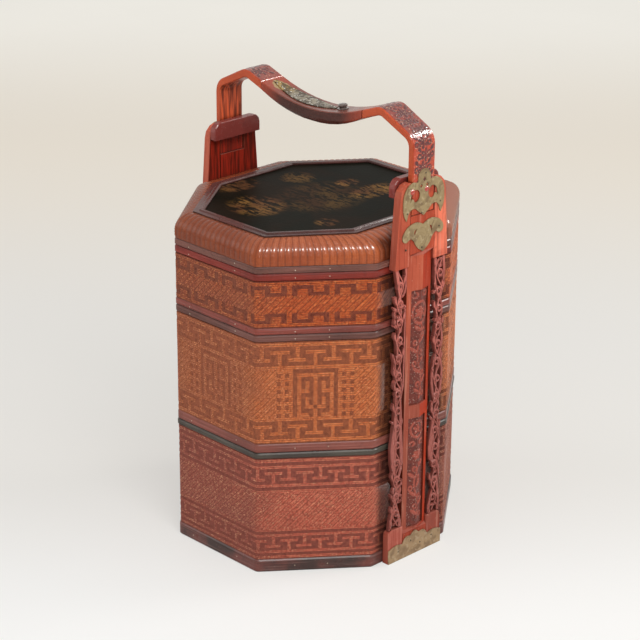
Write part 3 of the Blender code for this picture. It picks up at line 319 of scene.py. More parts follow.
def carved_paint(name, ground, raised, dust, deep, top=None, coat=0.12):
    """Carved lacquer whose hollows hold dust; height is read from the map's first number."""
    paint = Paint(name, 0.34, coat, bend=1.2)
    height = paint.axis(0, paint.map)
    blotch = paint.noise(150, 4, warp=0.5)
    specks = paint.noise(480, 2)
    lower = ground
    if top:
        lower = paint.blend(paint.level(paint.axis(2, paint.normal), 0.3, 0.8), ground, top)
    colour = paint.blend(paint.level(height, 0.12, 0.5), lower, raised)
    colour = paint.blend(paint.times(paint.level(blotch, 0.48, 0.66), 0.6), colour, deep)
    colour = paint.blend(paint.times(paint.level(specks, 0.6, 0.7), 0.6), colour, dust)
    return paint.finish(colour, paint.calc("ADD", blotch, specks), 0.0004)


def inlay_paint(name, gold, grey, edge, glint):
    """Worn metal sheet: gold at its left end, silver-grey beyond, dark towards its edges."""
    paint = Paint(name, 0.4, metal=0.35)
    along, across = paint.axis(0), paint.calc("ABSOLUTE", paint.axis(1))
    tarnish = paint.noise(90, 5, warp=0.9)
    specks = paint.noise(360, 3)
    colour = paint.blend(paint.level(along, -0.062, -0.048), gold, grey)
    colour = paint.blend(paint.times(paint.level(tarnish, 0.44, 0.56), 0.8), colour, edge)
    colour = paint.blend(paint.times(paint.level(across, 0.009, 0.0125), 0.6), colour, edge)
    colour = paint.blend(paint.times(paint.level(specks, 0.58, 0.68), 0.9), colour, glint)
    rough = paint.calc("MULTIPLY_ADD", tarnish, 0.4)
    rough.node.inputs[2].default_value = 0.2
    return paint.finish(colour, paint.calc("ADD", tarnish, specks), 0.0004, rough)


def panel_paint():
    """Black-green lacquer with worn gold-brown brushwork in loose clumps."""
    paint = Paint("painted_panel", 0.3, 0.0, bend=1.055)
    cloud = paint.noise(13, 4, warp=0.4)
    strokes = paint.noise(1.0, 4, paint.stretch(paint.space, (34, 120, 1)), 1.4)
    fine = paint.noise(240, 3)
    east, north = paint.axis(0), paint.axis(1)
    gold = None
    for x, y, wide, deep, share in ((-0.018, 0.066, 0.013, 0.016, 1.0), (0.030, 0.066, 0.020, 0.036, 0.85),
                                    (-0.030, -0.086, 0.036, 0.034, 0.8), (-0.108, -0.048, 0.018, 0.030, 0.7),
                                    (-0.078, 0.034, 0.022, 0.022, 0.4), (0.078, -0.066, 0.014, 0.014, 0.6),
                                    (0.05, 0.1, 0.03, 0.03, 0.6), (0.0, 0.0, 0.05, 0.06, 0.25)):
        u = paint.calc("POWER", paint.calc("ABSOLUTE", paint.times(paint.calc("SUBTRACT", east, x), 1 / wide)), 2.0)
        v = paint.calc("POWER", paint.calc("ABSOLUTE", paint.times(paint.calc("SUBTRACT", north, y), 1 / deep)), 2.0)
        clump = paint.times(paint.level(paint.calc("ADD", u, v), 1.7, 0.4), share)
        gold = clump if gold is None else paint.calc("MAXIMUM", gold, clump)
    brush = paint.times(paint.level(strokes, 0.4, 0.55), paint.level(fine, 0.3, 0.5))
    gold = paint.times(gold, brush)
    ground = paint.blend(paint.level(cloud, 0.4, 0.65), tone(22, 21, 15), tone(34, 27, 21))
    ink = paint.blend(paint.level(cloud, 0.42, 0.6), tone(146, 106, 56), tone(104, 68, 44))
    colour = paint.blend(gold, ground, ink)
    specks = paint.noise(520, 2)
    colour = paint.blend(paint.times(paint.level(specks, 0.72, 0.8), 0.4), colour, tone(120, 112, 96))
    gloss = paint.calc("MULTIPLY_ADD", cloud, 0.3)
    gloss.node.inputs[2].default_value = 0.2
    return paint.finish(colour, fine, 0.00015, gloss)


RIB_COUNT = 128
lid_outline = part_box("lid_shell")
MATERIALS = {
    "weft_upper": weft_paint("weft_upper", tone(216, 110, 56), tone(180, 76, 38), tone(92, 40, 28),
                             tone(236, 158, 100), tone(150, 84, 62), 0.85),
    "weft_middle": weft_paint("weft_middle", tone(222, 130, 76), tone(194, 100, 56), tone(116, 60, 38),
                              tone(240, 170, 118), tone(164, 96, 68), 0.85),
    "weft_bottom": weft_paint("weft_bottom", tone(214, 120, 94), tone(186, 90, 71), tone(112, 56, 48),
                              tone(234, 180, 138), tone(146, 82, 70), 0.85),
    "warp_upper": warp_paint("warp_upper", tone(122, 64, 52), tone(84, 42, 38), tone(184, 98, 60),
                             tone(128, 76, 60), 0.88),
    "warp_middle": warp_paint("warp_middle", tone(152, 88, 62), tone(108, 60, 46), tone(192, 114, 74),
                              tone(150, 88, 65), 0.88),
    "warp_bottom": warp_paint("warp_bottom", tone(140, 77, 66), tone(104, 56, 50), tone(174, 102, 84),
                              tone(134, 76, 66), 0.88),
    "band_lid": lacquer("band_lid_lacquer", tone(120, 76, 66), tone(74, 50, 44), tone(176, 146, 138), 0.28, 0.2,
                        run=(10, 10, 620)),
    "band_maroon": lacquer("band_maroon_lacquer", tone(132, 46, 36), tone(92, 34, 30), tone(178, 110, 100),
                           run=(10, 10, 620)),
    "band_wine": lacquer("band_wine_lacquer", tone(136, 66, 56), tone(92, 50, 44), tone(168, 140, 138), 0.28, 0.2,
                         run=(10, 10, 620)),
    "band_plum": lacquer("band_plum_lacquer", tone(112, 70, 62), tone(72, 50, 46), tone(160, 126, 120),
                         run=(10, 10, 620)),
    "band_rose": lacquer("band_rose_lacquer", tone(136, 76, 66), tone(98, 58, 52), tone(176, 130, 122),
                         run=(10, 10, 620)),
    "band_black": lacquer("band_black_lacquer", tone(78, 72, 64), tone(54, 44, 42), tone(130, 118, 108),
                          run=(10, 10, 620)),
    "band_foot": lacquer("band_foot_lacquer", tone(116, 68, 62), tone(62, 52, 50), tone(170, 140, 132), 0.28, 0.2,
                         (18, 70, 380), (0.9, 0.4, 0.3), run=(10, 10, 500)),
    "moulding": lacquer("moulding_lacquer", tone(92, 54, 50), tone(56, 36, 34), tone(160, 126, 116), 0.25),
    "coral": lacquer("coral_lacquer", tone(206, 98, 74), tone(160, 66, 52), tone(220, 164, 142), 0.42, 0.03,
                     (16, 70, 500), (0.5, 0.5, 0.45), inner=INNER_RED, sides=tone(160, 82, 66),
                     hands=(tone(186, 90, 66), tone(236, 126, 98), tone(180, 108, 94), tone(138, 76, 64)),
                     run=(260, 260, 14), bend=1.12),
    "post": lacquer("post_lacquer", tone(188, 94, 70), tone(158, 68, 52), tone(214, 160, 138), 0.42, 0.03,
                    (16, 70, 500), (0.4, 0.45, 0.4), right=tone(172, 54, 28), inner=INNER_RED,
                    sides=tone(58, 24, 18), top=tone(160, 92, 80), low=tone(156, 84, 68),
                    run=(260, 260, 14), bend=1.12),
    "fret": lacquer("fret_lacquer", tone(190, 102, 90), tone(140, 66, 56), tone(214, 188, 176), 0.38, 0.2,
                    (26, 130, 420), (0.4, 0.5, 0.7), sides=tone(84, 38, 32), low=tone(158, 86, 76)),
    "strap": lacquer("strap_lacquer", tone(200, 82, 48), tone(146, 48, 34), tone(230, 150, 100), 0.3, 0.12,
                     (24, 120, 520), (0.6, 0.5, 0.35), inner=tone(216, 94, 54), sides=tone(186, 84, 50),
                     run=(60, 400, 60)),
    "grip": lacquer("grip_lacquer", tone(112, 54, 46), tone(66, 36, 30), tone(150, 104, 92), 0.24, 0.2,
                    sides=tone(62, 34, 28), top=tone(126, 70, 58), run=(12, 420, 160), ends=tone(166, 70, 48), gilt=tone(170, 146, 104)),
    "cap": lacquer("cap_lacquer", tone(132, 58, 52), tone(88, 38, 34), tone(184, 132, 124), 0.22, 0.25),
    "bead": lacquer("bead_lacquer", tone(196, 66, 46), tone(160, 44, 34), tone(226, 160, 140), 0.16, 0.9,
                    bend=1.5),
    "brass": brass_paint("aged_brass", tone(158, 138, 101), tone(126, 104, 76), tone(188, 172, 136)),
    "foot_brass": brass_paint("foot_brass", tone(160, 134, 102), tone(130, 106, 80), tone(180, 164, 138)),
    "dark_brass": brass_paint("dark_brass", tone(96, 84, 66), tone(58, 50, 42), tone(150, 136, 112)),
    "inlay": inlay_paint("worn_sheet", tone(168, 140, 84), tone(140, 130, 112), tone(62, 50, 40),
                         tone(236, 234, 226)),
    # The knob's near-white specks are painted glints.
    "knob": lacquer("knob_lacquer", tone(124, 110, 104), tone(78, 66, 62), tone(244, 242, 238), 0.16, 1.0,
                    (60, 200, 380), (0.6, 0.6, 1.0)),
    "carved_post": carved_paint("carved_post", tone(112, 54, 46), tone(164, 82, 68), tone(190, 160, 146),
                                tone(82, 48, 44)),
    "carved_strap": carved_paint("carved_strap", tone(200, 76, 48), tone(92, 46, 46), tone(228, 176, 140),
                                 tone(140, 54, 46), top=tone(144, 62, 50), coat=0.7),
    "panel": panel_paint(),
    "bamboo": lacquer("plain_bamboo", tone(176, 134, 84), tone(140, 100, 60), tone(206, 176, 130), 0.55, 0.0),
    "peg": lacquer("peg_bamboo", tone(206, 190, 168), tone(170, 146, 116), tone(236, 230, 220), 0.35, 0.2),
    "wood": lacquer("floor_wood", tone(140, 104, 72), tone(110, 78, 52), tone(170, 140, 104), 0.6, 0.0),
}


# Pieces

def add_piece(name, mesh, materials, body, replaced=()):
    piece = bpy.data.objects.new(name, mesh)
    bpy.context.scene.collection.objects.link(piece)
    for key in materials:
        mesh.materials.append(MATERIALS[key])
    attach(piece, body)
    if replaced:
        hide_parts(*replaced)
    return piece


def smooth(mesh, degrees=40):
    bm = bmesh.new()
    bm.from_mesh(mesh)
    limit = math.radians(degrees)
    for face in bm.faces:
        face.smooth = True
    for edge in bm.edges:
        if len(edge.link_faces) == 2:
            edge.smooth = edge.calc_face_angle(0) < limit
    bm.to_mesh(mesh)
    bm.free()
    return mesh


def dress(node, key, rounding=0.0, segments=2):
    """Give a CAD node its finish and, where asked, softly rounded edges."""
    piece = nodes[node]
    for place in piece.material_slots:
        place.material = MATERIALS[key]
    if rounding:
        soften = piece.modifiers.new("rounded_edges", "BEVEL")
        soften.width = rounding
        soften.segments = segments
        soften.limit_method = "ANGLE"
        soften.angle_limit = math.radians(30)
        soften.harden_normals = True
    return piece


# Woven walls

class Rail:
    """A closed outline that is walked by its length, with a lift off its face."""

    def __init__(self, ring):
        self.ring = np.array(ring)
        step = np.roll(self.ring, -1, 0) - self.ring
        self.lengths = np.hypot(step[:, 0], step[:, 1])
        self.places = np.concatenate([[0], np.cumsum(self.lengths)])
        self.total = self.places[-1]
        side = np.stack([step[:, 1], -step[:, 0]], 1) / self.lengths[:, None]
        normal = side + np.roll(side, 1, 0)
        normal /= np.hypot(normal[:, 0], normal[:, 1])[:, None]
        self.normals = normal / (normal * side).sum(1)[:, None]

    def spot(self, place):
        inside = place % self.total
        index = min(int(np.searchsorted(self.places, inside, "right")) - 1, len(self.ring) - 1)
        share = (inside - self.places[index]) / self.lengths[index]
        after = (index + 1) % len(self.ring)
        base = self.ring[index] * (1 - share) + self.ring[after] * share
        return base, self.normals[index] * (1 - share) + self.normals[after] * share

    def at(self, place, height, lift):
        base, normal = self.spot(place)
        return (base[0] + normal[0] * lift, base[1] + normal[1] * lift, height)

    def knots(self, start, end):
        """Places of the outline's own corners between two places."""
        turns = range(math.floor(start / self.total), math.floor(end / self.total) + 1)
        found = [p + turn * self.total for turn in turns for p in self.places[:-1]]
        return sorted(p for p in found if start < p < end)

    def facets(self):
        """Middle places of the eight long sides, the one that faces the front first."""
        long_ones = [i for i, length in enumerate(self.lengths) if length > 0.08]
        middles = [(self.places[i] + self.places[i + 1]) / 2 for i in long_ones]
        front = max(middles, key=lambda m: self.spot(m)[0] @ np.array((1, -1)))
        return [front + (m - front) % self.total for m in sorted(middles, key=lambda m: (m - front) % self.total)]


def node_points(node):
    return np.array([v.co for v in nodes[node].data.vertices])


def ring_of(points, height):
    """The outermost points at one height, in order round the body."""
    level = points[np.abs(points[:, 2] - height) < LEVEL_TOLERANCE][:, :2]
    level = np.unique(np.round(level, ROUNDING), axis=0)
    hull = level[geometry.convex_hull_2d([Vector(p) for p in level])]
    return hull[np.argsort(np.arctan2(hull[:, 1], hull[:, 0]))]


class Relief:
    """Faces gathered for one woven surface, mapped by place and height."""

    def __init__(self, rail):
        self.rail = rail
        self.verts, self.faces, self.maps, self.kinds = [], [], [], []

    def face(self, corners, maps, kind):
        self.faces.append(corners)
        self.maps.extend(maps)
        self.kinds.append(kind)

    def tube(self, sections, kind):
        """Sections of (place, height, lift) points, joined and capped."""
        first = len(self.verts)
        for section in sections:
            self.verts.extend(self.rail.at(*point) for point in section)
        size = len(sections[0])
        flat = [(p[0], p[1]) for section in sections for p in section]
        for i in range(len(sections) - 1):
            for j in range(size):
                k = (j + 1) % size
                corners = [i * size + j, i * size + k, (i + 1) * size + k, (i + 1) * size + j]
                self.face([first + c for c in corners], [flat[c] for c in corners], kind)
        last = (len(sections) - 1) * size
        for corners in (list(range(size))[::-1], list(range(last, last + size))):
            self.face([first + c for c in corners], [flat[c] for c in corners], kind)

    def strip(self, start, end, half, lift, kind=1, slope=0.04, sunk=0.0003):
        """A splint from one (place, height) to another, rounded down at its sides and ends."""
        run = (end[0] - start[0], end[1] - start[1])
        length = math.hypot(*run)
        along = (run[0] / length, run[1] / length)
        cross = (-along[1] * half, along[0] * half)
        knots = []
        if abs(run[0]) > LEVEL_TOLERANCE:
            low, high = sorted((start[0], end[0]))
            knots = sorted((p - start[0]) / run[0] * length for p in self.rail.knots(low, high))
        edge = min(half * 0.8, length / 3)
        stations = [0.0, edge] + [k for k in knots if edge * 1.2 < k < length - edge * 1.2] + [length - edge, length]
        sections = []
        for station in stations:
            at = (start[0] + along[0] * station, start[1] + along[1] * station)
            top = lift if 0 < station < length else lift * 0.35
            sections.append([
                (at[0] - cross[0], at[1] - cross[1], -sunk),
                (at[0] - cross[0] * 0.55, at[1] - cross[1] * 0.55, top),
                (at[0] + cross[0] * 0.55, at[1] + cross[1] * 0.55, top),
                (at[0] + cross[0], at[1] + cross[1], -sunk)])
        self.tube(sections, kind)

    def cells(self, rows, origin, size, lift, splints=2):
        """Light cells of a drawn pattern, as level splints. Rows are written from the top."""
        wide, tall = size
        for r, row in enumerate(rows):
            column = 0
            while column < len(row):
                if row[column] != "#":
                    column += 1
                    continue
                end = column
                while end < len(row) and row[end] == "#" and end - column < 24:
                    end += 1
                for s in range(splints):
                    height = origin[1] - tall * (r + (s + 0.5) / splints)
                    self.strip((origin[0] + column * wide, height), (origin[0] + end * wide, height),
                               tall / splints * 0.46, lift)
                column = end

    def twill(self, start, end, low, high, pitch, width_share, lift=0.00034):
        """Slanting splints between two places and two heights."""
        rise = high - low
        count = int((end - start + rise) / pitch)
        for k in range(count):
            foot = start - rise + (k + 0.5 + 0.14 * math.sin(k * 2.3)) * pitch
            low_cut = max(0.0, start - foot)
            high_cut = min(rise, end - foot)
            if high_cut - low_cut > pitch / 2:
                self.strip((foot + low_cut, low + low_cut), (foot + high_cut, low + high_cut),
                           pitch * width_share * 0.7071, lift)

    def skin(self, low, high, thickness):
        """The wall itself: outer and inner face, closed above and below."""
        rail = self.rail
        count = len(rail.ring)
        first = len(self.verts)
        for place in rail.places[:-1]:
            for lift, height in ((0, low), (0, high), (-thickness, high), (-thickness, low)):
                self.verts.append(rail.at(place, height, lift))
        heights = (low, high, high, low)
        for i in range(count):
            after = (i + 1) % count
            ends = (rail.places[i], rail.places[i + 1])
            for j in range(4):
                k = (j + 1) % 4
                corners = [first + i * 4 + j, first + after * 4 + j, first + after * 4 + k, first + i * 4 + k]
                maps = [(ends[0], heights[j]), (ends[1], heights[j]), (ends[1], heights[k]), (ends[0], heights[k])]
                self.face(corners, maps, 2 if j == 2 else 0)

    def mesh(self, name):
        mesh = bpy.data.meshes.new(name)
        mesh.from_pydata(self.verts, [], self.faces)
        layer = mesh.uv_layers.new(name="place")
        layer.data.foreach_set("uv", np.array(self.maps, float).ravel())
        mesh.polygons.foreach_set("material_index", self.kinds)
        mesh.update()
        return mesh


def rolled(rows, shift):
    return [row[shift:] + row[:shift] for row in rows]


T_FRET = ["##################",
          ".............##...",
          "##########...##...",
          "....##.......##...",
          "....##...#########",
          "....##............",
          "##################"]
BORDER = "##################"
LINED_FRET = [BORDER, ".................."] + T_FRET + ["..................", BORDER]
KEY_FRET = ["################",
            "........####..##",
            "..####..####..##",
            "..####........##"]
LATTICE = ["...........",
           ".#########.",
           ".#...#...#.",
           ".#.#.#.#.#.",
           ".#.#.#.#.#.",
           ".###.#.###.",
           ".#...#...#.",
           ".#.#.#.#.#.",
           ".#.#.#.#.#.",
           ".#.##.##.#.",
           ".#...#...#.",
           ".###.#.###."]
DOTS = ["####", ".#.#"]
FRET_HEIGHTS = {"middle_tray": (0.0364, 0.0345), "bottom_tray": (0.0480, 0.0430), "upper_tray": (0.0186, 0.0180)}
FRET_PERIODS = {"middle_tray": 26, "bottom_tray": 29, "upper_tray": 22}
LATTICE_CELL = 0.0052
WALL_THICKNESS = 0.005
RELIEF_HEIGHT = 0.00045
FIRST_COLUMN = {"middle_tray": 5, "bottom_tray": 10.8, "upper_tray": 9}
FRETS = {"middle_tray": T_FRET, "bottom_tray": LINED_FRET, "upper_tray": KEY_FRET}
MARGINS = {"middle_tray": 0.0014, "bottom_tray": 0.0012, "upper_tray": 0.0012}


def tray_weave(tray):
    """The woven wall of one tray, with its fret bands and twill."""
    wall = f"{tray}_wall"
    points = node_points(wall)
    low, high = points[:, 2].min(), points[:, 2].max()
    relief = Relief(Rail(ring_of(points, low)))
    rail = relief.rail
    relief.skin(low, high, WALL_THICKNESS)
    facets = rail.facets()
    fret, periods, margin = FRETS[tray], FRET_PERIODS[tray], MARGINS[tray]
    columns = len(fret[0])
    wide = rail.total / periods / columns
    upper_band, lower_band = FRET_HEIGHTS[tray]
    start = facets[0] - FIRST_COLUMN[tray] * wide
    relief.cells([row * periods for row in fret], (start, high - margin), (wide, upper_band / len(fret)),
                 RELIEF_HEIGHT)
    lower = fret[::-1] if tray == "upper_tray" else rolled(fret, columns // 2)
    relief.cells([row * periods for row in lower], (start, low + margin + lower_band),
                 (wide, lower_band / len(fret)), RELIEF_HEIGHT)
    top, foot = high - margin - upper_band, low + margin + lower_band
    if tray == "middle_tray":
        tall = (top - foot) / len(LATTICE)
        half = len(LATTICE[0]) / 2 * LATTICE_CELL
        side = len(DOTS[0]) * LATTICE_CELL
        dots = (DOTS * 6)[:len(LATTICE)]
        for index, middle in enumerate(facets):
            after = facets[(index + 1) % len(facets)] + (rail.total if index + 1 == len(facets) else 0)
            relief.cells(LATTICE, (middle - half, top), (LATTICE_CELL, tall), RELIEF_HEIGHT)
            relief.cells(dots, (middle - half - side, top), (LATTICE_CELL, tall), RELIEF_HEIGHT)
            relief.cells([row[::-1] for row in dots], (middle + half, top), (LATTICE_CELL, tall), RELIEF_HEIGHT)
            relief.twill(middle + half + side, after - half - side, foot, top, 0.0030, 0.485)
    elif tray == "bottom_tray":
        relief.twill(0.0, rail.total, foot, top, 0.0028, 0.485)
    else:
        relief.twill(0.0, rail.total, foot, top, 0.0032, 0.485)
    key = tray.split("_")[0]
    mesh = smooth(relief.mesh(f"{tray}_weave"), 35)
    add_piece(f"{tray}_weave", mesh, (f"warp_{key}", f"weft_{key}", "bamboo"), TRAYS[tray], (wall,))


for tray_name in TRAYS:
    tray_weave(tray_name)


# Lid

LID_STRAIGHT = 0.010
RIB_HEIGHT = 0.0011
SHELL_THICKNESS = 0.005
LEDGE = 0.010
SHOULDER_SPREAD = 0.030


def lid_weave():
    """The ribbed shoulder, from the rim to the moulding, with its inner face."""
    points = node_points("lid_shell")
    low = points[:, 2].min()
    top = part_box("lid_panel")[1].z
    body, panel = Rail(ring_of(points, low)), Rail(ring_of(points, top))
    rise = top - low - LID_STRAIGHT
    pitch = body.total / RIB_COUNT
    outer = [(0.0, low + LID_STRAIGHT * k / 5, 0.0) for k in range(5)]
    outer += [(1 - math.cos(a), low + LID_STRAIGHT + rise * math.sin(a), a)
              for a in np.linspace(0, math.pi / 2, 24)]
    MATERIALS["weft_lid"] = lid_paint("weft_lid", tone(188, 98, 52), tone(148, 70, 40), tone(186, 112, 84), pitch)
    columns = []
    for j, length in enumerate(body.lengths):
        count = max(1, round(length / (pitch / 8)))
        columns += [(j, k / count, body.places[j] + length * k / count) for k in range(count)]
    verts, maps = [], []
    for j, share, place in columns:
        after = (j + 1) % len(body.ring)
        wide = body.ring[j] * (1 - share) + body.ring[after] * share
        narrow = panel.ring[j] * (1 - share) + panel.ring[after] * share
        side = body.normals[j] * (1 - share) + body.normals[after] * share
        inward = panel.normals[j] * (1 - share) + panel.normals[after] * share
        rib = abs(math.sin(math.pi * place / pitch)) ** 0.7
        path = 0.0
        for row, (share_in, height, angle) in enumerate(outer):
            flat = wide * (1 - share_in) + narrow * share_in
            out, up = math.cos(angle) / SHOULDER_SPREAD, math.sin(angle) / rise
            scale = 1 / math.hypot(out, up)
            fade = min(1.0, row / 2, (len(outer) - 1 - row) / 3)
            lift = RIB_HEIGHT * rib * fade * (1 - 0.28 * (row % 2))
            verts.append((flat[0] + side[0] * out * scale * lift, flat[1] + side[1] * out * scale * lift,
                          height + up * scale * lift))
            maps.append((place, row * 0.0013))
        for edge, height in ((LEDGE, top), (LEDGE, top - SHELL_THICKNESS)):
            verts.append((*(narrow - inward * edge), height))
            maps.append((place, path))
        for share_in, height, angle in outer[::-4]:
            flat = (wide - side * SHELL_THICKNESS) * (1 - share_in)
            flat = flat + (narrow - inward * SHELL_THICKNESS * (1 - share_in)) * share_in
            verts.append((*flat, height - SHELL_THICKNESS * share_in))
            maps.append((place, path))
    rows = len(verts) // len(columns)
    faces, corner_maps, kinds = [], [], []
    for c in range(len(columns)):
        after = (c + 1) % len(columns)
        turn = body.total if after == 0 else 0.0
        for r in range(rows):
            up = (r + 1) % rows
            faces.append((c * rows + r, after * rows + r, after * rows + up, c * rows + up))
            shift = (0.0, turn, turn, 0.0)
            corner_maps += [(maps[v][0] + s, maps[v][1]) for v, s in zip(faces[-1], shift)]
            kinds.append(0 if r < len(outer) - 1 else 1)
    mesh = bpy.data.meshes.new("lid_weave")
    mesh.from_pydata(verts, [], faces)
    mesh.uv_layers.new(name="place").data.foreach_set("uv", np.array(corner_maps).ravel())
    mesh.polygons.foreach_set("material_index", kinds)
    add_piece("lid_weave", smooth(mesh, 60), ("weft_lid", "bamboo"), "lid", ("lid_shell",))


lid_weave()


# Uprights

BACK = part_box("post_near")[0].x


def on_side(side, point):
    """A point of an upright's own frame, in the basket's frame."""
    sign = 1 if side == "near" else -1
    return (sign * (BACK + point[0]), sign * point[1], point[2])


def from_side(side, points):
    sign = 1 if side == "near" else -1
    return np.stack([sign * points[:, 0] - BACK, sign * points[:, 1], points[:, 2]], 1)


def add_upright_piece(name, side, verts, faces, key, maps=None, replaced=(), limit=40):
    mesh = bpy.data.meshes.new(name)
    mesh.from_pydata([on_side(side, v) for v in verts], [], faces)
    if maps is not None:
        layer = mesh.uv_layers.new(name="place")
        layer.data.foreach_set("uv", np.array([maps[v] for f in faces for v in f], float).ravel())
    mesh.update()
    return add_piece(name, smooth(mesh, limit), (key,), "basket_frame", replaced)


def fret_carving(side, hand):
    """A fret with softly rounded edges, on the outline of its CAD node."""
    node = f"fret_{hand}_{side}"
    mesh = nodes[node].data
    points = np.round(from_side(side, node_points(node)), ROUNDING)
    front, back = points[:, 0].max(), points[:, 0].min()
    flat_keys, flats, polygons = {}, [], []
    for polygon in mesh.polygons:
        if all(points[v][0] > front - LEVEL_TOLERANCE for v in polygon.vertices):
            corners = []
            for v in polygon.vertices:
                key = (round(points[v][1], 6), round(points[v][2], 6))
                if key not in flat_keys:
                    flat_keys[key] = len(flats)
                    flats.append(key)
                corners.append(flat_keys[key])
            polygons.append(corners)
    used = {}
    for corners in polygons:
        for a, b in zip(corners, corners[1:] + corners[:1]):
            used[frozenset((a, b))] = used.get(frozenset((a, b)), 0) + 1
    edges = [tuple(edge) for edge, count in used.items() if count == 1]
    flat = np.array(flats)
    starts, ends = flat[[e[0] for e in edges]], flat[[e[1] for e in edges]]

    def clearance(spots):
        run = ends - starts
        size = (run ** 2).sum(1)
        found = []
        for spot in spots:
            share = np.clip(((spot - starts) * run).sum(1) / size, 0, 1)
            gap = starts + run * share[:, None] - spot
            found.append(math.sqrt((gap ** 2).sum(1).min()))
        return np.array(found)

    step = 0.00125
    (y0, z0), (y1, z1) = flat.min(0), flat.max(0)
    grid = np.array([(y + (row % 2) * step / 2, z) for row, z in enumerate(np.arange(z0, z1, step))
                     for y in np.arange(y0, y1, step)])
    grid = grid[clearance(grid) > 0.00055]
    spots = [Vector(p) for p in np.concatenate([flat, grid])]
    found = geometry.delaunay_2d_cdt(spots, edges, polygons, 1, 1e-6)
    kept = [(face, owners) for face, owners in zip(found[2], found[5]) if owners]
    places = np.array(found[0])
    depth = clearance(places)
    reach = 0.0009
    round_off = reach * (1 - np.sqrt(1 - (1 - np.minimum(depth / reach, 1)) ** 2))
    count = len(places)
    verts = [(front - a, p[0], p[1]) for p, a in zip(places, round_off)]
    verts += [(back, p[0], p[1]) for p in places]
    faces = []
    border = {}
    for face, owners in kept:
        faces.append(tuple(face))
        faces.append(tuple(count + v for v in reversed(face)))
        for a, b in zip(face, face[1:] + face[:1]):
            if (b, a) in border:
                del border[(b, a)]
            else:
                border[(a, b)] = True
    faces += [(b, a, count + a, count + b) for a, b in border]
    used_verts = sorted({v for face in faces for v in face})
    index = {v: i for i, v in enumerate(used_verts)}
    faces = [tuple(index[v] for v in face) for face in faces]
    verts = [verts[v] for v in used_verts]
    name = f"fret_{hand}_{side}_carving"
    add_upright_piece(name, side, verts, faces, "fret", None, (node,), 50)


def ribbon(verts, faces, line, widths, back, front):
    """A flat strand with softened edges along a line of (y, z) points."""
    first = len(verts)
    for i, (point, width) in enumerate(zip(line, widths)):
        before, after = line[max(i - 1, 0)], line[min(i + 1, len(line) - 1)]
        run = math.hypot(after[0] - before[0], after[1] - before[1])
        side = ((before[1] - after[1]) / run, (after[0] - before[0]) / run)
        for share, x in ((-1, back), (-1, front - 0.0008), (-0.6, front), (0.6, front), (1, front - 0.0008), (1, back)):
            offset = width / 2 * share
            verts.append((x, point[0] + side[0] * offset, point[1] + side[1] * offset))
    for i in range(len(line) - 1):
        for j in range(6):
            a, b = first + i * 6 + j, first + i * 6 + (j + 1) % 6
            faces.append((a, b, b + 6, a + 6))
    faces.append(tuple(first + j for j in reversed(range(6))))
    faces.append(tuple(first + (len(line) - 1) * 6 + j for j in range(6)))


SCROLL_COUNT = 14
SCROLL_START = 0.070
SCROLL_STEP = 0.0245
STEM_MIDDLE = 0.0362
STEM_SWAY = 0.0050
SCROLL_RADIUS = 0.0056


def fret_scrolls(side, hand):
    """A swaying stem with a curl in each bend and a leaf outside it."""
    sign = -1 if hand == "left" else 1
    low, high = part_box(f"fret_{hand}_{side}")
    depths = sorted(abs(x) - BACK for x in (low.x, high.x))
    back, front = depths[0] + 0.0004, depths[1] + 0.0003
    verts, faces = [], []

    def sway(z):
        return STEM_MIDDLE + STEM_SWAY * math.cos(math.pi * (z - SCROLL_START) / SCROLL_STEP)

    heights = np.linspace(0.052, 0.408, 110)
    ribbon(verts, faces, [(sign * sway(z), z) for z in heights], [0.0024] * len(heights), back, front)
    for k in range(SCROLL_COUNT):
        z = SCROLL_START + SCROLL_STEP * k
        outer = 1 if k % 2 == 0 else -1
        centre = (sway(z) - outer * SCROLL_RADIUS, z)
        line, widths = [], []
        for s in range(26):
            turn, share = math.radians(18 * s), s / 25
            radius = SCROLL_RADIUS * (1 - 0.68 * share)
            line.append((sign * (centre[0] + outer * math.cos(turn) * radius), centre[1] + math.sin(turn) * radius))
            widths.append(0.0026 * (1 - share) + 0.0013)
        ribbon(verts, faces, line, widths, back, front + 0.0002)
        leaf_line = []
        for s in range(9):
            share = s / 8
            y = sway(z) + outer * (0.0012 + 0.0036 * share * (1.5 - share))
            leaf_line.append((sign * min(max(y, 0.0262), 0.0466), z + 0.002 + 0.011 * share))
        ribbon(verts, faces, leaf_line, [0.0012 + 0.0030 * math.sin(math.pi * s / 8) for s in range(9)], back, front)
    add_upright_piece(f"fret_{hand}_{side}_scrolls", side, verts, faces, "fret", None, (), 50)


def bloom(y, z, centre, radii, angle=0.0):
    """Squared distance from a centre, in radii of an oval turned by an angle."""
    turn = math.radians(angle)
    across = (y - centre[0]) * math.cos(turn) + (z - centre[1]) * math.sin(turn)
    up = (z - centre[1]) * math.cos(turn) - (y - centre[0]) * math.sin(turn)
    return (across / radii[0]) ** 2 + (up / radii[1]) ** 2


def leaf(y, z, centre, radii, angle):
    return np.sqrt(np.clip(1 - bloom(y, z, centre, radii, angle), 0, 1))


def ring(y, z, centre, radii, width, angle=0.0):
    return np.exp(-((np.sqrt(bloom(y, z, centre, radii, angle)) - 1) / width) ** 2)


def rosette(y, z, centre, size, petals=6):
    parts = [leaf(y, z, centre, (size * 0.28, size * 0.28), 0)]
    for k in range(petals):
        a = 2 * math.pi * k / petals
        spot = (centre[0] + math.sin(a) * size * 0.62, centre[1] + math.cos(a) * size * 0.62)
        parts.append(leaf(y, z, spot, (size * 0.26, size * 0.40), -math.degrees(a)) * 0.9)
    return np.maximum.reduce(parts)


